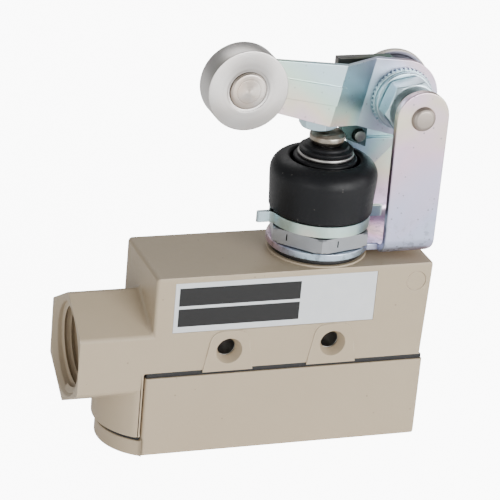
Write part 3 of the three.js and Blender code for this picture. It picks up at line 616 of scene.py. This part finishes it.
def make_turned_tree():
    """Carries the host's outline, points (radius, 0, height) in order, once round the Z axis."""
    tree, given, result = new_tree("turned", {
        "Facets": ("NodeSocketInt", 96),
        "Material": ("NodeSocketMaterial", None),
    })
    outline = given.outputs["Geometry"]
    size = add(tree, "GeometryNodeAttributeDomainSize", {0: outline})
    around = add(tree, "ShaderNodeMath", {0: given.outputs["Facets"], 1: 1.0}, operation="ADD")
    sheet = add(tree, "GeometryNodeMeshGrid", {
        "Size X": 1.0, "Size Y": 1.0,
        "Vertices X": around.outputs[0], "Vertices Y": size.outputs["Point Count"],
    })
    where = add(tree, "ShaderNodeSeparateXYZ", {0: add(tree, "GeometryNodeInputPosition").outputs[0]})
    last = calculate(tree, "SUBTRACT", size.outputs["Point Count"], 1.0)
    along = calculate(tree, "MULTIPLY", calculate(tree, "ADD", where.outputs["Y"], 0.5), last)
    index = calculate(tree, "ROUND", along)
    point = add(tree, "GeometryNodeSampleIndex", {
        "Geometry": outline, "Value": add(tree, "GeometryNodeInputPosition").outputs[0], "Index": index,
    }, data_type="FLOAT_VECTOR")
    angle = calculate(tree, "MULTIPLY", calculate(tree, "ADD", where.outputs["X"], 0.5), 2 * math.pi)
    carried = add(tree, "ShaderNodeVectorRotate", {"Vector": point.outputs[0], "Angle": angle},
                  rotation_type="Z_AXIS")
    placed = add(tree, "GeometryNodeSetPosition", {
        "Geometry": sheet.outputs[0], "Position": carried.outputs[0],
    })
    welded = add(tree, "GeometryNodeMergeByDistance", {
        "Geometry": placed.outputs[0], "Distance": 0.0005 * MM,
    })
    close_tree(tree, given, result, welded.outputs[0])
    return tree


TURNED = make_turned_tree()


def softened(outline, radius, closed, steps=3):
    """An outline in millimetres with a round of at most that radius at each corner."""
    count = len(outline)
    points = []
    for k, here in enumerate(outline):
        if not closed and k in (0, count - 1):
            points.append(Vector(here))
            continue
        here = Vector(here)
        to_last = Vector(outline[k - 1]) - here
        to_next = Vector(outline[(k + 1) % count]) - here
        reach = min(radius, 0.45 * to_last.length, 0.45 * to_next.length)
        start = here + to_last.normalized() * reach
        end = here + to_next.normalized() * reach
        for step in range(steps + 1):
            t = step / steps
            points.append(start * (1 - t) ** 2 + here * 2 * t * (1 - t) + end * t ** 2)
    return points


def turned(name, outline, material, axis="z", centre=(0, 0, 0), radius=0.15, closed=False, facets=96,
           sharp=35):
    """A turned piece. outline: (radius, distance along the axis) in millimetres; a closed one is a ring."""
    points = softened(outline, radius, closed)
    if closed:
        points.append(points[0].copy())
    lines = [(k, k + 1) for k in range(len(points) - 1)]
    host = bpy.data.meshes.new(name)
    host.from_pydata([(p.x * MM, 0, p.y * MM) for p in points], lines, [])
    piece = run_tree(name, TURNED, {"Facets": facets, "Material": material}, host)
    piece.data.transform(Matrix.Translation(Vector(centre)) @ AXES[axis])
    return cleaned(piece, sharp)


def turned_part(node, slot, outline, material, *how, **more):
    """A turned piece that takes its CAD node's place."""
    piece = turned(node + "_piece", outline, material, *how, **more)
    return settle(piece, body_of_node(node), slot, node)


def plain_ring(inner, outer, low, high):
    """Outline of a ring, or of a pin where inner is 0."""
    return [(inner, low), (outer, low), (outer, high), (inner, high)]


def ends(node):
    """Where a CAD node begins and ends along Y, in millimetres."""
    low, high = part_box(node)
    return low.y / MM, high.y / MM


def middle_of(node):
    """The middle of a CAD node's box."""
    low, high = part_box(node)
    return (low + high) / 2


STEEL = metal("bare_steel", (186, 184, 180), 0.32)
SPRING_STEEL = metal("spring_steel", (140, 142, 146), 0.34)
BRASS = metal("brass_strip", (196, 160, 92), 0.34)

for screw in ("cover_screw_left", "cover_screw_front", "cover_screw_back"):
    refined(screw, STEEL, "bare_steel", 0.15 * MM)

HOLE_Z = middle_of("mounting_sleeve_left").z
for sleeve in ("mounting_sleeve_left", "mounting_sleeve_right"):
    turned_part(sleeve, "bare_steel", plain_ring(2.2, 3, *ends(sleeve)), STEEL, "y",
                (middle_of(sleeve).x, 0, HOLE_Z), 0.1, True, 48)

# ------------------------------------------------------------------------------------------
# Basic switch: a moulded phenolic housing and lid, a pale pin, brass strips with their screws
# and the thin snap blade. It sits inside the case and shows only through openings.
# ------------------------------------------------------------------------------------------
PHENOLIC = rubber("dark_phenolic", (46, 38, 33), 0.5, 120.0, 0.00002)


def pale_plastic():
    """Matt off-white moulded plastic."""
    material, tree, shader, place = new_material("pale_plastic", 0.42, 0.0)
    broad = grain(tree, place, 150.0)
    colour = mix(tree, broad, linear(206, 198, 188), linear(222, 214, 204))
    tree.links.new(colour, shader.inputs["Base Color"])
    fine = grain(tree, place, 1600.0)
    bump(tree, shader, fine, 0.01 * MM, 0.4)
    return material


PALE_PLASTIC = pale_plastic()
for node in ("switch_housing", "switch_lid"):
    refined(node, PHENOLIC, "phenolic", 0.2 * MM)
for node in ("snap_blade", "common_terminal", "normally_open_terminal", "normally_closed_terminal"):
    refined(node, BRASS, "brass", 0.05 * MM, segments=2)
for node in ("common_terminal_screw", "normally_open_terminal_screw", "normally_closed_terminal_screw"):
    refined(node, STEEL, "bare_steel", 0.12 * MM)
refined("switch_pin", PALE_PLASTIC, "pale_plastic", 0.12 * MM)
refined("push_button", BRASS, "brass", 0.12 * MM)

# ------------------------------------------------------------------------------------------
# Head: threaded steel sleeve screwed through the case's roof, its spring retainer, and the
# black washer it seats on. The return spring is coiled round wire.
# ------------------------------------------------------------------------------------------
BOOT_RUBBER = rubber("black_boot_rubber", (9, 10, 13), 0.44, 80.0, 0.00002)
BOOT_RUBBER.node_tree.nodes["Principled BSDF"].inputs["Specular IOR Level"].default_value = 0.26

SLEEVE_R = 9.0
sleeve_outline = [(3.6, 52.9), (6.3, 52.9), (6.3, 42.4), (SLEEVE_R, 42.4), (SLEEVE_R, 52.2), (8.8, 52.4),
                  (8.8, 57), (7.8, 58), (3.6, 58)]
turned_part("head_sleeve", "bare_steel", sleeve_outline, STEEL, radius=0.2, closed=True)
turned_part("spring_retainer", "bare_steel", plain_ring(4.2, 6.2, 42.6, 43.6), STEEL, closed=True)
turned_part("seat_washer", "black_rubber", plain_ring(9.4, 11, 45.4, 46.6), GASKET_RUBBER, radius=0.4,
            closed=True)

for spring, wire, mean, turns, anchor, keep in (
    ("return_spring", 0.45, 4.9, 4.0, 43.7, 0.62),
    ("overtravel_spring", 0.25, 1.8, 5.0, 55.8, 0.72),
):
    low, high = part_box(spring)
    start = Vector((0, 0, low.z + wire * MM))
    rise = high.z - low.z - 2 * wire * MM
    coil = wound(spring + "_piece", "z", start, turns, mean * MM, rise, wire * MM, 10, SPRING_STEEL, 32, 60)
    settle(coil, body_of_node(spring), "spring_steel", spring)
    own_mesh(coil)

# ------------------------------------------------------------------------------------------
# Boot: one thick moulded nitrile rubber cup over the head. Its wall swells a little upwards to
# a broad round shoulder, and the top is dished round the plunger. Its foot is clamped.
# ------------------------------------------------------------------------------------------


def arc(cu, cv, radius, first, last, steps):
    """Points of an arc, in degrees."""
    turns = [math.radians(first + (last - first) * k / steps) for k in range(steps + 1)]
    return [(cu + radius * math.cos(t), cv + radius * math.sin(t)) for t in turns]


BOOT_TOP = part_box("boot")[1].z / MM
boot_outline = [(9.1, 52.5), (11.1, 52.5), (11.1, 55.25), (11.85, 55.45), (12.1, 55.8), (12.16, 57.5),
                (12.32, 60), (12.5, 62.5), *arc(8.7, BOOT_TOP - 3.8, 3.85, 2, 88, 12),
                (8.5, BOOT_TOP - 0.05), (8.15, BOOT_TOP - 0.4), (7.95, 66.2), (7.9, 64.4), (7.4, 63.9),
                (3.6, 63.8), (3.6, 63), (8, 62.6), (9.1, 61.6)]
turned_part("boot", "black_rubber", boot_outline, BOOT_RUBBER, radius=0.35, closed=True, facets=128, sharp=60)
lip_outline = [(3.45, 66.8), (7.0, 66.8), (7.5, 67.4), (7.4, 68.1), (6.9, 68.4), (3.45, 68.4)]
lip = turned("boot_lip", lip_outline, BOOT_RUBBER, radius=0.3, closed=True, sharp=60)
settle(lip, "plunger", "black_rubber")

# ------------------------------------------------------------------------------------------
# Plated steel: zinc plating with a clear chromate that shimmers in pale blue, lilac, peach and
# green. The lock nut is a plain satin hexagon with small punch ticks on its flats.
# ------------------------------------------------------------------------------------------


def make_shimmer():
    """Colour of a thin chromate film: slow patches that drift through pale interference tints."""
    group, given, result = new_group(
        "chromate_film",
        {"Vector": ("NodeSocketVector", None), "Patch Scale": ("NodeSocketFloat", 28.0),
         "Shift": ("NodeSocketFloat", 0.0), "Drift": ("NodeSocketVector", (0, 0, 0))},
        {"Color": "NodeSocketColor"},
    )
    noise = add(group, "ShaderNodeTexNoise", {
        "Vector": given.outputs["Vector"], "Scale": given.outputs["Patch Scale"],
        "Detail": 2.5, "Distortion": 0.6,
    })
    spread = calculate(group, "MULTIPLY_ADD", noise.outputs["Fac"], 1.5, given.outputs["Shift"])
    drift = add(group, "ShaderNodeVectorMath", {0: given.outputs["Vector"], 1: given.outputs["Drift"]},
                operation="DOT_PRODUCT")
    moved = calculate(group, "FRACT", calculate(group, "ADD", spread, drift.outputs["Value"]))
    ramp = add(group, "ShaderNodeValToRGB", {0: moved})
    tints = [(0.0, (182, 204, 226)), (0.2, (192, 190, 232)), (0.36, (228, 178, 206)), (0.48, (230, 206, 168)),
             (0.62, (178, 222, 192)), (0.8, (160, 208, 222)), (1.0, (182, 204, 226))]
    stops = ramp.color_ramp.elements
    while len(stops) < len(tints):
        stops.new(0.5)
    for stop, (place, tint) in zip(stops, tints):
        stop.position = place
        stop.color = linear(*tint)
    group.links.new(ramp.outputs[0], result.inputs["Color"])
    return group


SHIMMER = make_shimmer()


def zinc(name, base, amount, shift=0.0, drift=(0, 0, 0), patch=28.0, roughness=0.36, grit=0.4,
         darker_below=None):
    """Zinc plate of a base shade, tinted by the film, gritted with small dark specks, darkened in patches
    below a given height where one is given, and with its edges lightened nearly white as rubbed plating and
    painted edge highlight.
    """
    material, tree, shader, place = new_material(name, roughness, 1.0)
    film = use(tree, SHIMMER, Vector=place, Shift=shift, Drift=drift, **{"Patch Scale": patch}).outputs[0]
    colour = mix(tree, amount, linear(*base), film)
    specks = use(tree, SPECKS, Vector=place, Scale=900.0, Size=0.2).outputs[0]
    colour = mix(tree, calculate(tree, "MULTIPLY", specks, grit), colour, linear(96, 100, 108))
    if darker_below is not None:
        # Below the given height the plate is darkened in patches towards a dark grey.
        height = add(tree, "ShaderNodeSeparateXYZ", {0: place}).outputs["Z"]
        low_part = calculate(tree, "MULTIPLY", calculate(tree, "SUBTRACT", darker_below, height), 150.0)
        dark_patches = clamped(tree, calculate(tree, "MULTIPLY_ADD", grain(tree, place, 750.0), 9.0, -4.7))
        low_darkening = calculate(tree, "MULTIPLY", calculate(tree, "MULTIPLY", clamped(tree, low_part), dark_patches), 0.4)
        colour = mix(tree, low_darkening, colour, linear(92, 96, 104))
    # Edges lightened nearly white: partly rubbed plating, partly painted edge highlight.
    wear_and_glint_mask = use(tree, WEAR_AND_GLINT, Vector=place, Radius=0.0003).outputs[0]
    colour = mix(tree, calculate(tree, "MULTIPLY", wear_and_glint_mask, 0.5), colour, linear(238, 240, 242))
    finish(tree, shader, colour, grain(tree, place, 700.0), 0.22, roughness - 0.11, 0.02 * MM, 0.4)
    return material


ZINC = zinc("zinc_chromate", (212, 222, 226), 0.45)
ZINC_WALLS = zinc("zinc_walls", (200, 212, 218), 0.6, -0.62, (0, 16, 5), 30.0, 0.36, 0.5, 57 * MM)
NUT_TICKS = (-150, -86)  # directions of the two ticks about the head's axis, in degrees


def nut_steel():
    """Satin grey plate with a short dark tick on each of two flats."""
    material, tree, shader, place = new_material("satin_grey_nut", 0.4, 1.0)
    split = add(tree, "ShaderNodeSeparateXYZ", {0: place})
    direction = calculate(tree, "ARCTAN2", split.outputs["Y"], split.outputs["X"])
    tick = None
    for degrees in NUT_TICKS:
        here = calculate(tree, "COMPARE", direction, math.radians(degrees), 0.014)
        tick = here if tick is None else calculate(tree, "MAXIMUM", tick, here)
    at_height = calculate(tree, "COMPARE", split.outputs["Z"], 50.6 * MM, 0.8 * MM)
    tick = calculate(tree, "MULTIPLY", tick, at_height)
    broad = grain(tree, place, 120.0)
    colour = mix(tree, broad, linear(142, 145, 149), linear(180, 183, 187))
    tree.links.new(mix(tree, tick, colour, linear(26, 27, 28)), shader.inputs["Base Color"])
    bump(tree, shader, grain(tree, place, 800.0), 0.02 * MM, 0.4)
    return material


NUT_STEEL = nut_steel()


def hexagon_nut(name, flats, low, high, bore, turn, material, sectors=72):
    """Hexagon nut about the Z axis, from low to high; a turned chamfer breaks its corners."""
    shape = bmesh.new()
    corner = flats / math.sqrt(3)
    chamfer = 0.35 * MM

    def ring(z, limit, six_sided):
        made = []
        for k in range(sectors):
            angle = 2 * math.pi * k / sectors
            flat_reach = flats / 2 / math.cos(angle % (math.pi / 3) - math.pi / 6)
            reach = min(limit, flat_reach) if six_sided else limit
            made.append(shape.verts.new((reach * math.cos(angle + turn), reach * math.sin(angle + turn), z)))
        return made

    cut_corner = corner * 0.955
    rings = [ring(low, cut_corner, True), ring(low + chamfer, corner, True),
             ring(high - chamfer, corner, True), ring(high, cut_corner, True),
             ring(high, bore, False), ring(low, bore, False)]
    for one, other in zip(rings, rings[1:] + rings[:1]):
        for k in range(sectors):
            shape.faces.new((one[k], one[(k + 1) % sectors], other[(k + 1) % sectors], other[k]))
    mesh = bpy.data.meshes.new(name)
    shape.to_mesh(mesh)
    shape.free()
    mesh.materials.append(material)
    return cleaned(new_object(name, mesh), 18)


low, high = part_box("lock_nut")
nut = hexagon_nut("lock_nut_piece", 22 * MM, low.z, high.z, 9.15 * MM, math.radians(-106), NUT_STEEL)
settle(nut, "case", "zinc_plate", "lock_nut")

# ------------------------------------------------------------------------------------------
# Boot clamp: a strip of plated steel wrapped round the boot's foot. At each side the strip is
# pinched out into a folded ear. A tree sweeps the strip's section along that closed path.
# ------------------------------------------------------------------------------------------


def make_strip_tree():
    """Sweeps a flat rectangular section along the host's closed path."""
    tree, given, result = new_tree("swept_strip", {
        "Thickness": ("NodeSocketFloat", 0.5 * MM),
        "Width": ("NodeSocketFloat", 2.7 * MM),
        "Material": ("NodeSocketMaterial", None),
    })
    path = add(tree, "GeometryNodeMeshToCurve", {0: given.outputs["Geometry"]})
    section = add(tree, "GeometryNodeCurvePrimitiveQuadrilateral", {
        "Width": given.outputs["Thickness"], "Height": given.outputs["Width"],
    })
    swept = add(tree, "GeometryNodeCurveToMesh", {
        "Curve": path.outputs[0], "Profile Curve": section.outputs[0],
    })
    close_tree(tree, given, result, swept.outputs[0])
    return tree


STRIP = make_strip_tree()


def clamp_path():
    """Centre line of the strip: a circle that runs out into an ear at each side."""
    band, fold, tip, neck = 11.5, 0.36, 15.0, 12.1
    opening = math.degrees(math.asin(1.5 / band))
    points = []
    for side in (0, 180):
        quarter = arc(0, 0, band, side + opening, side + 180 - opening, 40)
        ear = [(neck - 0.15, -0.8), (neck + 0.35, -fold), *arc(tip - 0.05, 0, fold, -90, 90, 6),
               (neck + 0.35, fold), (neck - 0.15, 0.8)]
        turn = math.radians(side)
        across, along = math.cos(turn), math.sin(turn)
        points += [(x * across - y * along, x * along + y * across) for x, y in ear]
        points += quarter
    return points


strip_z = middle_of("boot_clamp").z
path_points = [(x * MM, y * MM, strip_z) for x, y in clamp_path()]
path_lines = [(k, (k + 1) % len(path_points)) for k in range(len(path_points))]
path_mesh = bpy.data.meshes.new("clamp_path")
path_mesh.from_pydata(path_points, path_lines, [])
strip_size = {"Thickness": 0.5 * MM, "Width": 2.6 * MM, "Material": ZINC}
clamp = run_tree("boot_clamp_piece", STRIP, strip_size, path_mesh)
cleaned(clamp, 40)
settle(clamp, "case", "zinc_plate", "boot_clamp")

# ------------------------------------------------------------------------------------------
# Plunger: turned steel shaft with a spring collar, and on its top a washer, a black wiper ring
# and a screwed-on tip whose nickel is worn brassy where the bolt meets it.
# ------------------------------------------------------------------------------------------
WORN_NICKEL = metal("worn_nickel", (172, 166, 154), 0.34, 500.0, (104, 84, 58), 0.85)

shaft_outline = [(0, 56), (2.4, 56), (2.4, 44.6), (3.6, 44.6), (3.6, 50.4), (5.9, 50.4), (5.9, 52.6),
                 (3.3, 52.6), (3.3, 68.2), (2.6, 68.2), (2.6, 73.8), (0, 73.8)]
turned_part("plunger_shaft", "bare_steel", shaft_outline, STEEL, facets=64)
turned_part("plunger_washer", "bare_steel", plain_ring(2.7, 6.5, 68.5, 69.4), STEEL, radius=0.3, closed=True)
wiper_outline = [(2.7, 69.5), (6.2, 69.5), (6.3, 70.4), (5.3, 70.6), (5.1, 71.3), (2.7, 71.3)]
turned_part("plunger_seal", "black_rubber", wiper_outline, BOOT_RUBBER, radius=0.25, closed=True, sharp=60)
tip_outline = [(0, 74.4), (3.3, 74.36), (4.15, 73.6), (4.15, 72.5), (3.5, 71.5), (2.7, 71.5), (2.7, 73.9),
               (0, 73.9)]
turned_part("plunger_tip", "nickel", tip_outline, WORN_NICKEL, radius=0.25, facets=64)

# ------------------------------------------------------------------------------------------
# Bracket: one blank of 1.8 mm zinc-plated sheet, folded into a U whose floor is a ring clamped
# under the lock nut. The stop plate is fixed inside its back wall.
# ------------------------------------------------------------------------------------------
refined("lever_bracket", ZINC_WALLS, "zinc_plate", 0.3 * MM)
ZINC_BLUE = zinc("zinc_bluish", (150, 170, 196), 0.4, 0.85)
refined("stop_plate", ZINC_BLUE, "zinc_plate", 0.2 * MM)

# ------------------------------------------------------------------------------------------
# Pivot: a headed nickel pin riveted at the back, a pale collar behind the front wall and a
# dished disc with a pale rim before the back wall, its face painted dark grey as painted shade. The lever's
# hub turns on the pin.
# ------------------------------------------------------------------------------------------
DULL_NICKEL = metal("dull_nickel", (168, 158, 149), 0.42, 300.0, (150, 138, 124), 0.35)
pivot = [j for j in frame["joints"] if j["name"] == "lever_pivot"][0]["pos_m"]
PIVOT = (pivot[0], 0, pivot[2])

pin_front, pin_back = ends("pivot_pin")
pin_outline = [(0, pin_front), (2.0, pin_front + 0.05), (2.55, pin_front + 0.35), (3.0, pin_front + 1.05),
               (2.5, pin_front + 1.05), (2.5, pin_back - 1), (3.1, pin_back - 1), (2.9, pin_back - 0.4),
               (2.2, pin_back - 0.1), (0, pin_back)]
turned_part("pivot_pin", "nickel", pin_outline, DULL_NICKEL, "y", PIVOT, facets=64)

collar_outline = plain_ring(2.65, 5.5, *ends("pivot_collar"))
turned_part("pivot_collar", "pale_plastic", collar_outline, PALE_PLASTIC, "y", PIVOT, 0.3, True)

front, back = ends("pivot_disc")
disc_outline = [(2.65, front + 0.3), (8.3, front + 0.3), (8.5, front), (9.3, front), (9.5, front + 0.2),
                (9.5, back), (2.65, back)]
# The disc's dark bluish grey face is painted shade for its place inside the bracket.
DISC_STEEL_PAINTED_SHADE = metal("disc_steel_painted_shade", (150, 150, 166), 0.46)
turned_part("pivot_disc", "pale_plastic", disc_outline, DISC_STEEL_PAINTED_SHADE, "y", PIVOT, 0.2, True)
rim_outline = [(9.2, front - 0.02), (9.5, front - 0.02), (9.55, back), (9.2, back)]
disc_rim = turned("pivot_disc_rim", rim_outline, PALE_PLASTIC, "y", PIVOT, 0.1, True)
settle(disc_rim, "bracket", "pale_plastic")

# ------------------------------------------------------------------------------------------
# Lever: the follower plate, coloured near-black teal as painted shade for its place behind the arm, with its
# shelf, contact bolt and locking nut, and the stop pin pressed in its lower lobe, its dark greenish tint
# painted reflection.
# ------------------------------------------------------------------------------------------
# The follower's near-black teal plate is painted shade: it sits in shadow behind the arm.
ZINC_PAINTED_SHADE = zinc("zinc_painted_shade", (40, 62, 66), 0.12, 0.9)
refined("follower_lever", ZINC_PAINTED_SHADE, "zinc_plate", 0.25 * MM)
refined("contact_bolt", ZINC, "bare_steel", 0.15 * MM)
refined("contact_bolt_nut", ZINC, "zinc_plate", 0.15 * MM)
bolt = middle_of("contact_bolt")
bolt_thread = wound("contact_bolt_thread", "z", Vector((bolt.x, bolt.y, 84.6 * MM)), 2.0, 2.36 * MM, 1.6 * MM,
                    0.32 * MM, 3, STEEL, 32)
settle(bolt_thread, "lever", "bare_steel")
# The stop pin's dark greenish steel and its darker greenish patches are painted shade and painted reflection.
STEEL_PAINTED_REFLECTION = metal("steel_painted_reflection", (122, 130, 124), 0.34, 400.0, (54, 60, 58), 0.8)
stop = middle_of("stop_pin")
turned_part("stop_pin", "bare_steel", plain_ring(0, 1.4, *ends("stop_pin")), STEEL_PAINTED_REFLECTION, "y",
            (stop.x, 0, stop.z), 0.25, facets=40)

# ------------------------------------------------------------------------------------------
# Arm clamp on the hub: hexagon nut, plain washer and a toothed washer that bites the arm. The
# hub's end shows its thread in front of the nut. Teeth are instanced round the washer's rim.
# ------------------------------------------------------------------------------------------


def make_teeth_tree():
    """Stands small blocks round a rim, each turned to face outwards."""
    tree, given, result = new_tree("rim_teeth", {
        "Teeth": ("NodeSocketInt", 40),
        "Rim Radius": ("NodeSocketFloat", 7.3 * MM),
        "Tooth Size": ("NodeSocketVector", (0.4 * MM, 0.5 * MM, 0.8 * MM)),
        "Material": ("NodeSocketMaterial", None),
    })
    rim = add(tree, "GeometryNodeCurvePrimitiveCircle", {
        "Resolution": given.outputs["Teeth"], "Radius": given.outputs["Rim Radius"],
    })
    seats = add(tree, "GeometryNodeCurveToPoints", {
        "Curve": rim.outputs[0], "Count": given.outputs["Teeth"],
    }, mode="COUNT")
    tooth = add(tree, "GeometryNodeMeshCube", {"Size": given.outputs["Tooth Size"]})
    teeth = add(tree, "GeometryNodeInstanceOnPoints", {
        "Points": seats.outputs["Points"], "Instance": tooth.outputs[0],
        "Rotation": seats.outputs["Rotation"],
    })
    close_tree(tree, given, result, teeth.outputs[0])
    return tree


TEETH = make_teeth_tree()

hub_outline = [(2.55, -7.6), (3.6, -7.6), (4, -7.2), (4, 6.6), (6.5, 6.6), (6.5, 8), (2.55, 8)]
turned_part("pivot_hub", "bare_steel", hub_outline, STEEL, "y", PIVOT, 0.15, True)
hub_thread = wound("pivot_hub_thread", "y", Vector((PIVOT[0], -7.3 * MM, PIVOT[2])), 2.0, 3.95 * MM, 1.4 * MM,
                   0.28 * MM, 3, STEEL, 48)
settle(hub_thread, "lever", "bare_steel")

bite_outline = plain_ring(4.1, 7.2, *ends("toothed_washer"))
turned_part("toothed_washer", "zinc_plate", bite_outline, ZINC, "y", PIVOT, 0.1, True)
teeth = run_tree("toothed_washer_teeth", TEETH, {
    "Teeth": 44, "Rim Radius": 7.3 * MM, "Tooth Size": (0.42 * MM, 0.5 * MM, 0.5 * MM), "Material": ZINC})
teeth.data.transform(Matrix.Translation((PIVOT[0], middle_of("toothed_washer").y, PIVOT[2])) @ AXES["y"])
cleaned(teeth)
settle(teeth, "lever", "zinc_plate")

washer_outline = plain_ring(4.1, 7, *ends("clamp_washer"))
turned_part("clamp_washer", "zinc_plate", washer_outline, ZINC, "y", PIVOT, 0.3, True)
refined("arm_clamp_nut", ZINC, "zinc_plate", 0.2 * MM)

# ------------------------------------------------------------------------------------------
# Roller arm: 1.6 mm plated sheet, stepped towards the front between two bends and stiffened by
# a long pressed rib.
# ------------------------------------------------------------------------------------------
ZINC_ARM = zinc("zinc_arm", (210, 218, 218), 0.55, -0.15, (22, 0, 14), 20.0, 0.36, 0.3)


def arm_rounding(middle, length, fold):
    """Share of the arm's edge rounding: the bends are a little softer than the cut edges."""
    return 1.0 if fold > math.radians(45) else 1.4


refined("roller_arm", ZINC_ARM, "zinc_plate", 0.12 * MM, arm_rounding, 2, merge=False)

# ------------------------------------------------------------------------------------------
# Roller: a turned stainless ring with fine concentric tool marks. It runs on a shouldered rivet
# whose faced end has begun to stain brown.
# ------------------------------------------------------------------------------------------
axle = middle_of("roller")
ROLLER = (axle.x, 0, axle.z)


def faced_steel(name, shade, patch_tint_amount):
    """Turned steel: rings of tool marks about the roller's axle."""
    material, tree, shader, place = new_material(name, 0.3, 1.0)
    centred = add(tree, "ShaderNodeVectorMath", {0: place, 1: ROLLER}, operation="SUBTRACT")
    split = add(tree, "ShaderNodeSeparateXYZ", {0: centred.outputs[0]})
    flat_place = add(tree, "ShaderNodeCombineXYZ", {0: split.outputs["X"], 2: split.outputs["Z"]})
    distance = add(tree, "ShaderNodeVectorMath", {0: flat_place.outputs[0]}, operation="LENGTH")
    ring_place = add(tree, "ShaderNodeCombineXYZ", {0: distance.outputs["Value"], 1: split.outputs["Y"]})
    rings = clouds(tree, ring_place.outputs[0], 4200.0, 3.0)
    broad = grain(tree, place, 160.0)
    colour = mix(tree, rings, linear(*[v * 0.9 for v in shade]), linear(*shade))
    tint_patches = clamped(tree, calculate(tree, "MULTIPLY_ADD", broad, 4.0, -1.6))
    patch_tint = calculate(tree, "MULTIPLY", tint_patches, patch_tint_amount)
    colour = mix(tree, patch_tint, colour, linear(168, 140, 112))
    finish(tree, shader, colour, rings, 0.3, 0.18, 0.03 * MM, 0.8)
    shader.inputs["Anisotropic"].default_value = 0.7
    around = add(tree, "ShaderNodeTangent", direction_type="RADIAL", axis="Y")
    tree.links.new(around.outputs[0], shader.inputs["Tangent"])
    return material


ROLLER_STEEL = faced_steel("turned_stainless", (206, 203, 200), 0.12)
RIVET_STEEL = faced_steel("stained_rivet_steel", (204, 198, 192), 0.5)
front, back = ends("roller")
roller_outline = [(4.3, front + 0.14), (4.8, front + 0.12), (4.95, front), (9.3, front), (9.3, back),
                  (4.95, back), (4.3, back - 0.4)]
turned_part("roller", "bare_steel", roller_outline, ROLLER_STEEL, "y", ROLLER, 0.18, True, 160)

front, back = ends("roller_rivet")
rivet_outline = [(0, front), (3.85, front), (4.24, front + 0.3), (4.2, -5.1), (2.6, -5.1), (2.6, -3.3),
                 (3.8, -3.3), (3.4, -2.5), (0, back)]
turned_part("roller_rivet", "bare_steel", rivet_outline, RIVET_STEEL, "y", ROLLER, 0.2)

# ------------------------------------------------------------------------------------------
# Setting: a wide pale floor, a broad front softbox, weaker ones to the left, low left, behind and
# to the right, and a long lens from the conduit's side, a little above.
# ------------------------------------------------------------------------------------------
floor_mesh = bpy.data.meshes.new("floor")
reach = 6.0
floor_mesh.from_pydata([(-reach, -reach, 0), (reach, -reach, 0), (reach, reach, 0), (-reach, reach, 0)], [],
                       [(0, 1, 2, 3)])
floor = new_object("floor", floor_mesh)
floor_paint, floor_tree, floor_shader, _ = new_material("pale_floor", 0.7, 0.0)
floor_shader.inputs["Base Color"].default_value = (0.93, 0.93, 0.93, 1)
floor_shader.inputs["Emission Color"].default_value = (1, 1, 1, 1)
seen = add(floor_tree, "ShaderNodeLightPath").outputs["Is Camera Ray"]
FLOOR_GLOW = 0.35  # lights the undersides
FLOOR_SEEN = 9.0  # how much brighter the bare floor is to the eye
glow = calculate(floor_tree, "MULTIPLY_ADD", seen, FLOOR_SEEN, FLOOR_GLOW)
floor_tree.links.new(glow, floor_shader.inputs["Emission Strength"])
floor_mesh.materials.append(floor_paint)


def softbox(name, place, target, size, power):
    """A rectangular lamp of that size in metres at place, turned to target."""
    lamp = bpy.data.lights.new(name, "AREA")
    lamp.shape = "RECTANGLE"
    lamp.size, lamp.size_y = size
    lamp.energy = power
    holder = new_object(name, lamp)
    holder.location = place
    holder.rotation_euler = (Vector(target) - Vector(place)).to_track_quat("-Z", "Y").to_euler()


softbox("front_light", (0.4, -0.95, 0.25), (0, 0, 0.04), (0.8, 0.6), 15)
softbox("left_light", (-0.9, -0.35, 0.5), (0, 0, 0.05), (0.3, 0.8), 1)
softbox("low_left_light", (-0.75, -0.8, 0.12), (0, 0, 0.06), (0.6, 0.4), 3)
softbox("back_light", (0.1, 0.8, 0.7), (0, 0, 0.05), (0.8, 0.3), 2)
softbox("right_light", (0.9, -0.3, 0.3), (0, 0, 0.07), (0.5, 0.5), 2.5)

world = bpy.data.worlds.new("studio")
bpy.context.scene.world = world
world.use_nodes = True
world.node_tree.nodes["Background"].inputs["Color"].default_value = (1, 1, 1, 1)
world.node_tree.nodes["Background"].inputs["Strength"].default_value = 0.36

camera_data = bpy.data.cameras.new("camera")
camera_data.lens = 182.1
camera_data.sensor_width = 36
camera = new_object("camera", camera_data)
azimuth, elevation, roll = math.radians(-20.97), math.radians(23.61), math.radians(5.27)
ahead = Vector((-math.sin(azimuth) * math.cos(elevation), math.cos(azimuth) * math.cos(elevation),
                -math.sin(elevation)))
level = Vector((math.cos(azimuth), math.sin(azimuth), 0))
upright = level.cross(ahead)
right = level * math.cos(roll) + upright * math.sin(roll)
above = upright * math.cos(roll) - level * math.sin(roll)
camera.matrix_world = Matrix.Translation((-0.2081, -0.5004, 0.2796)) @ Matrix((
    (right.x, above.x, -ahead.x, 0),
    (right.y, above.y, -ahead.y, 0),
    (right.z, above.z, -ahead.z, 0),
    (0, 0, 0, 1),
))
bpy.context.scene.camera = camera
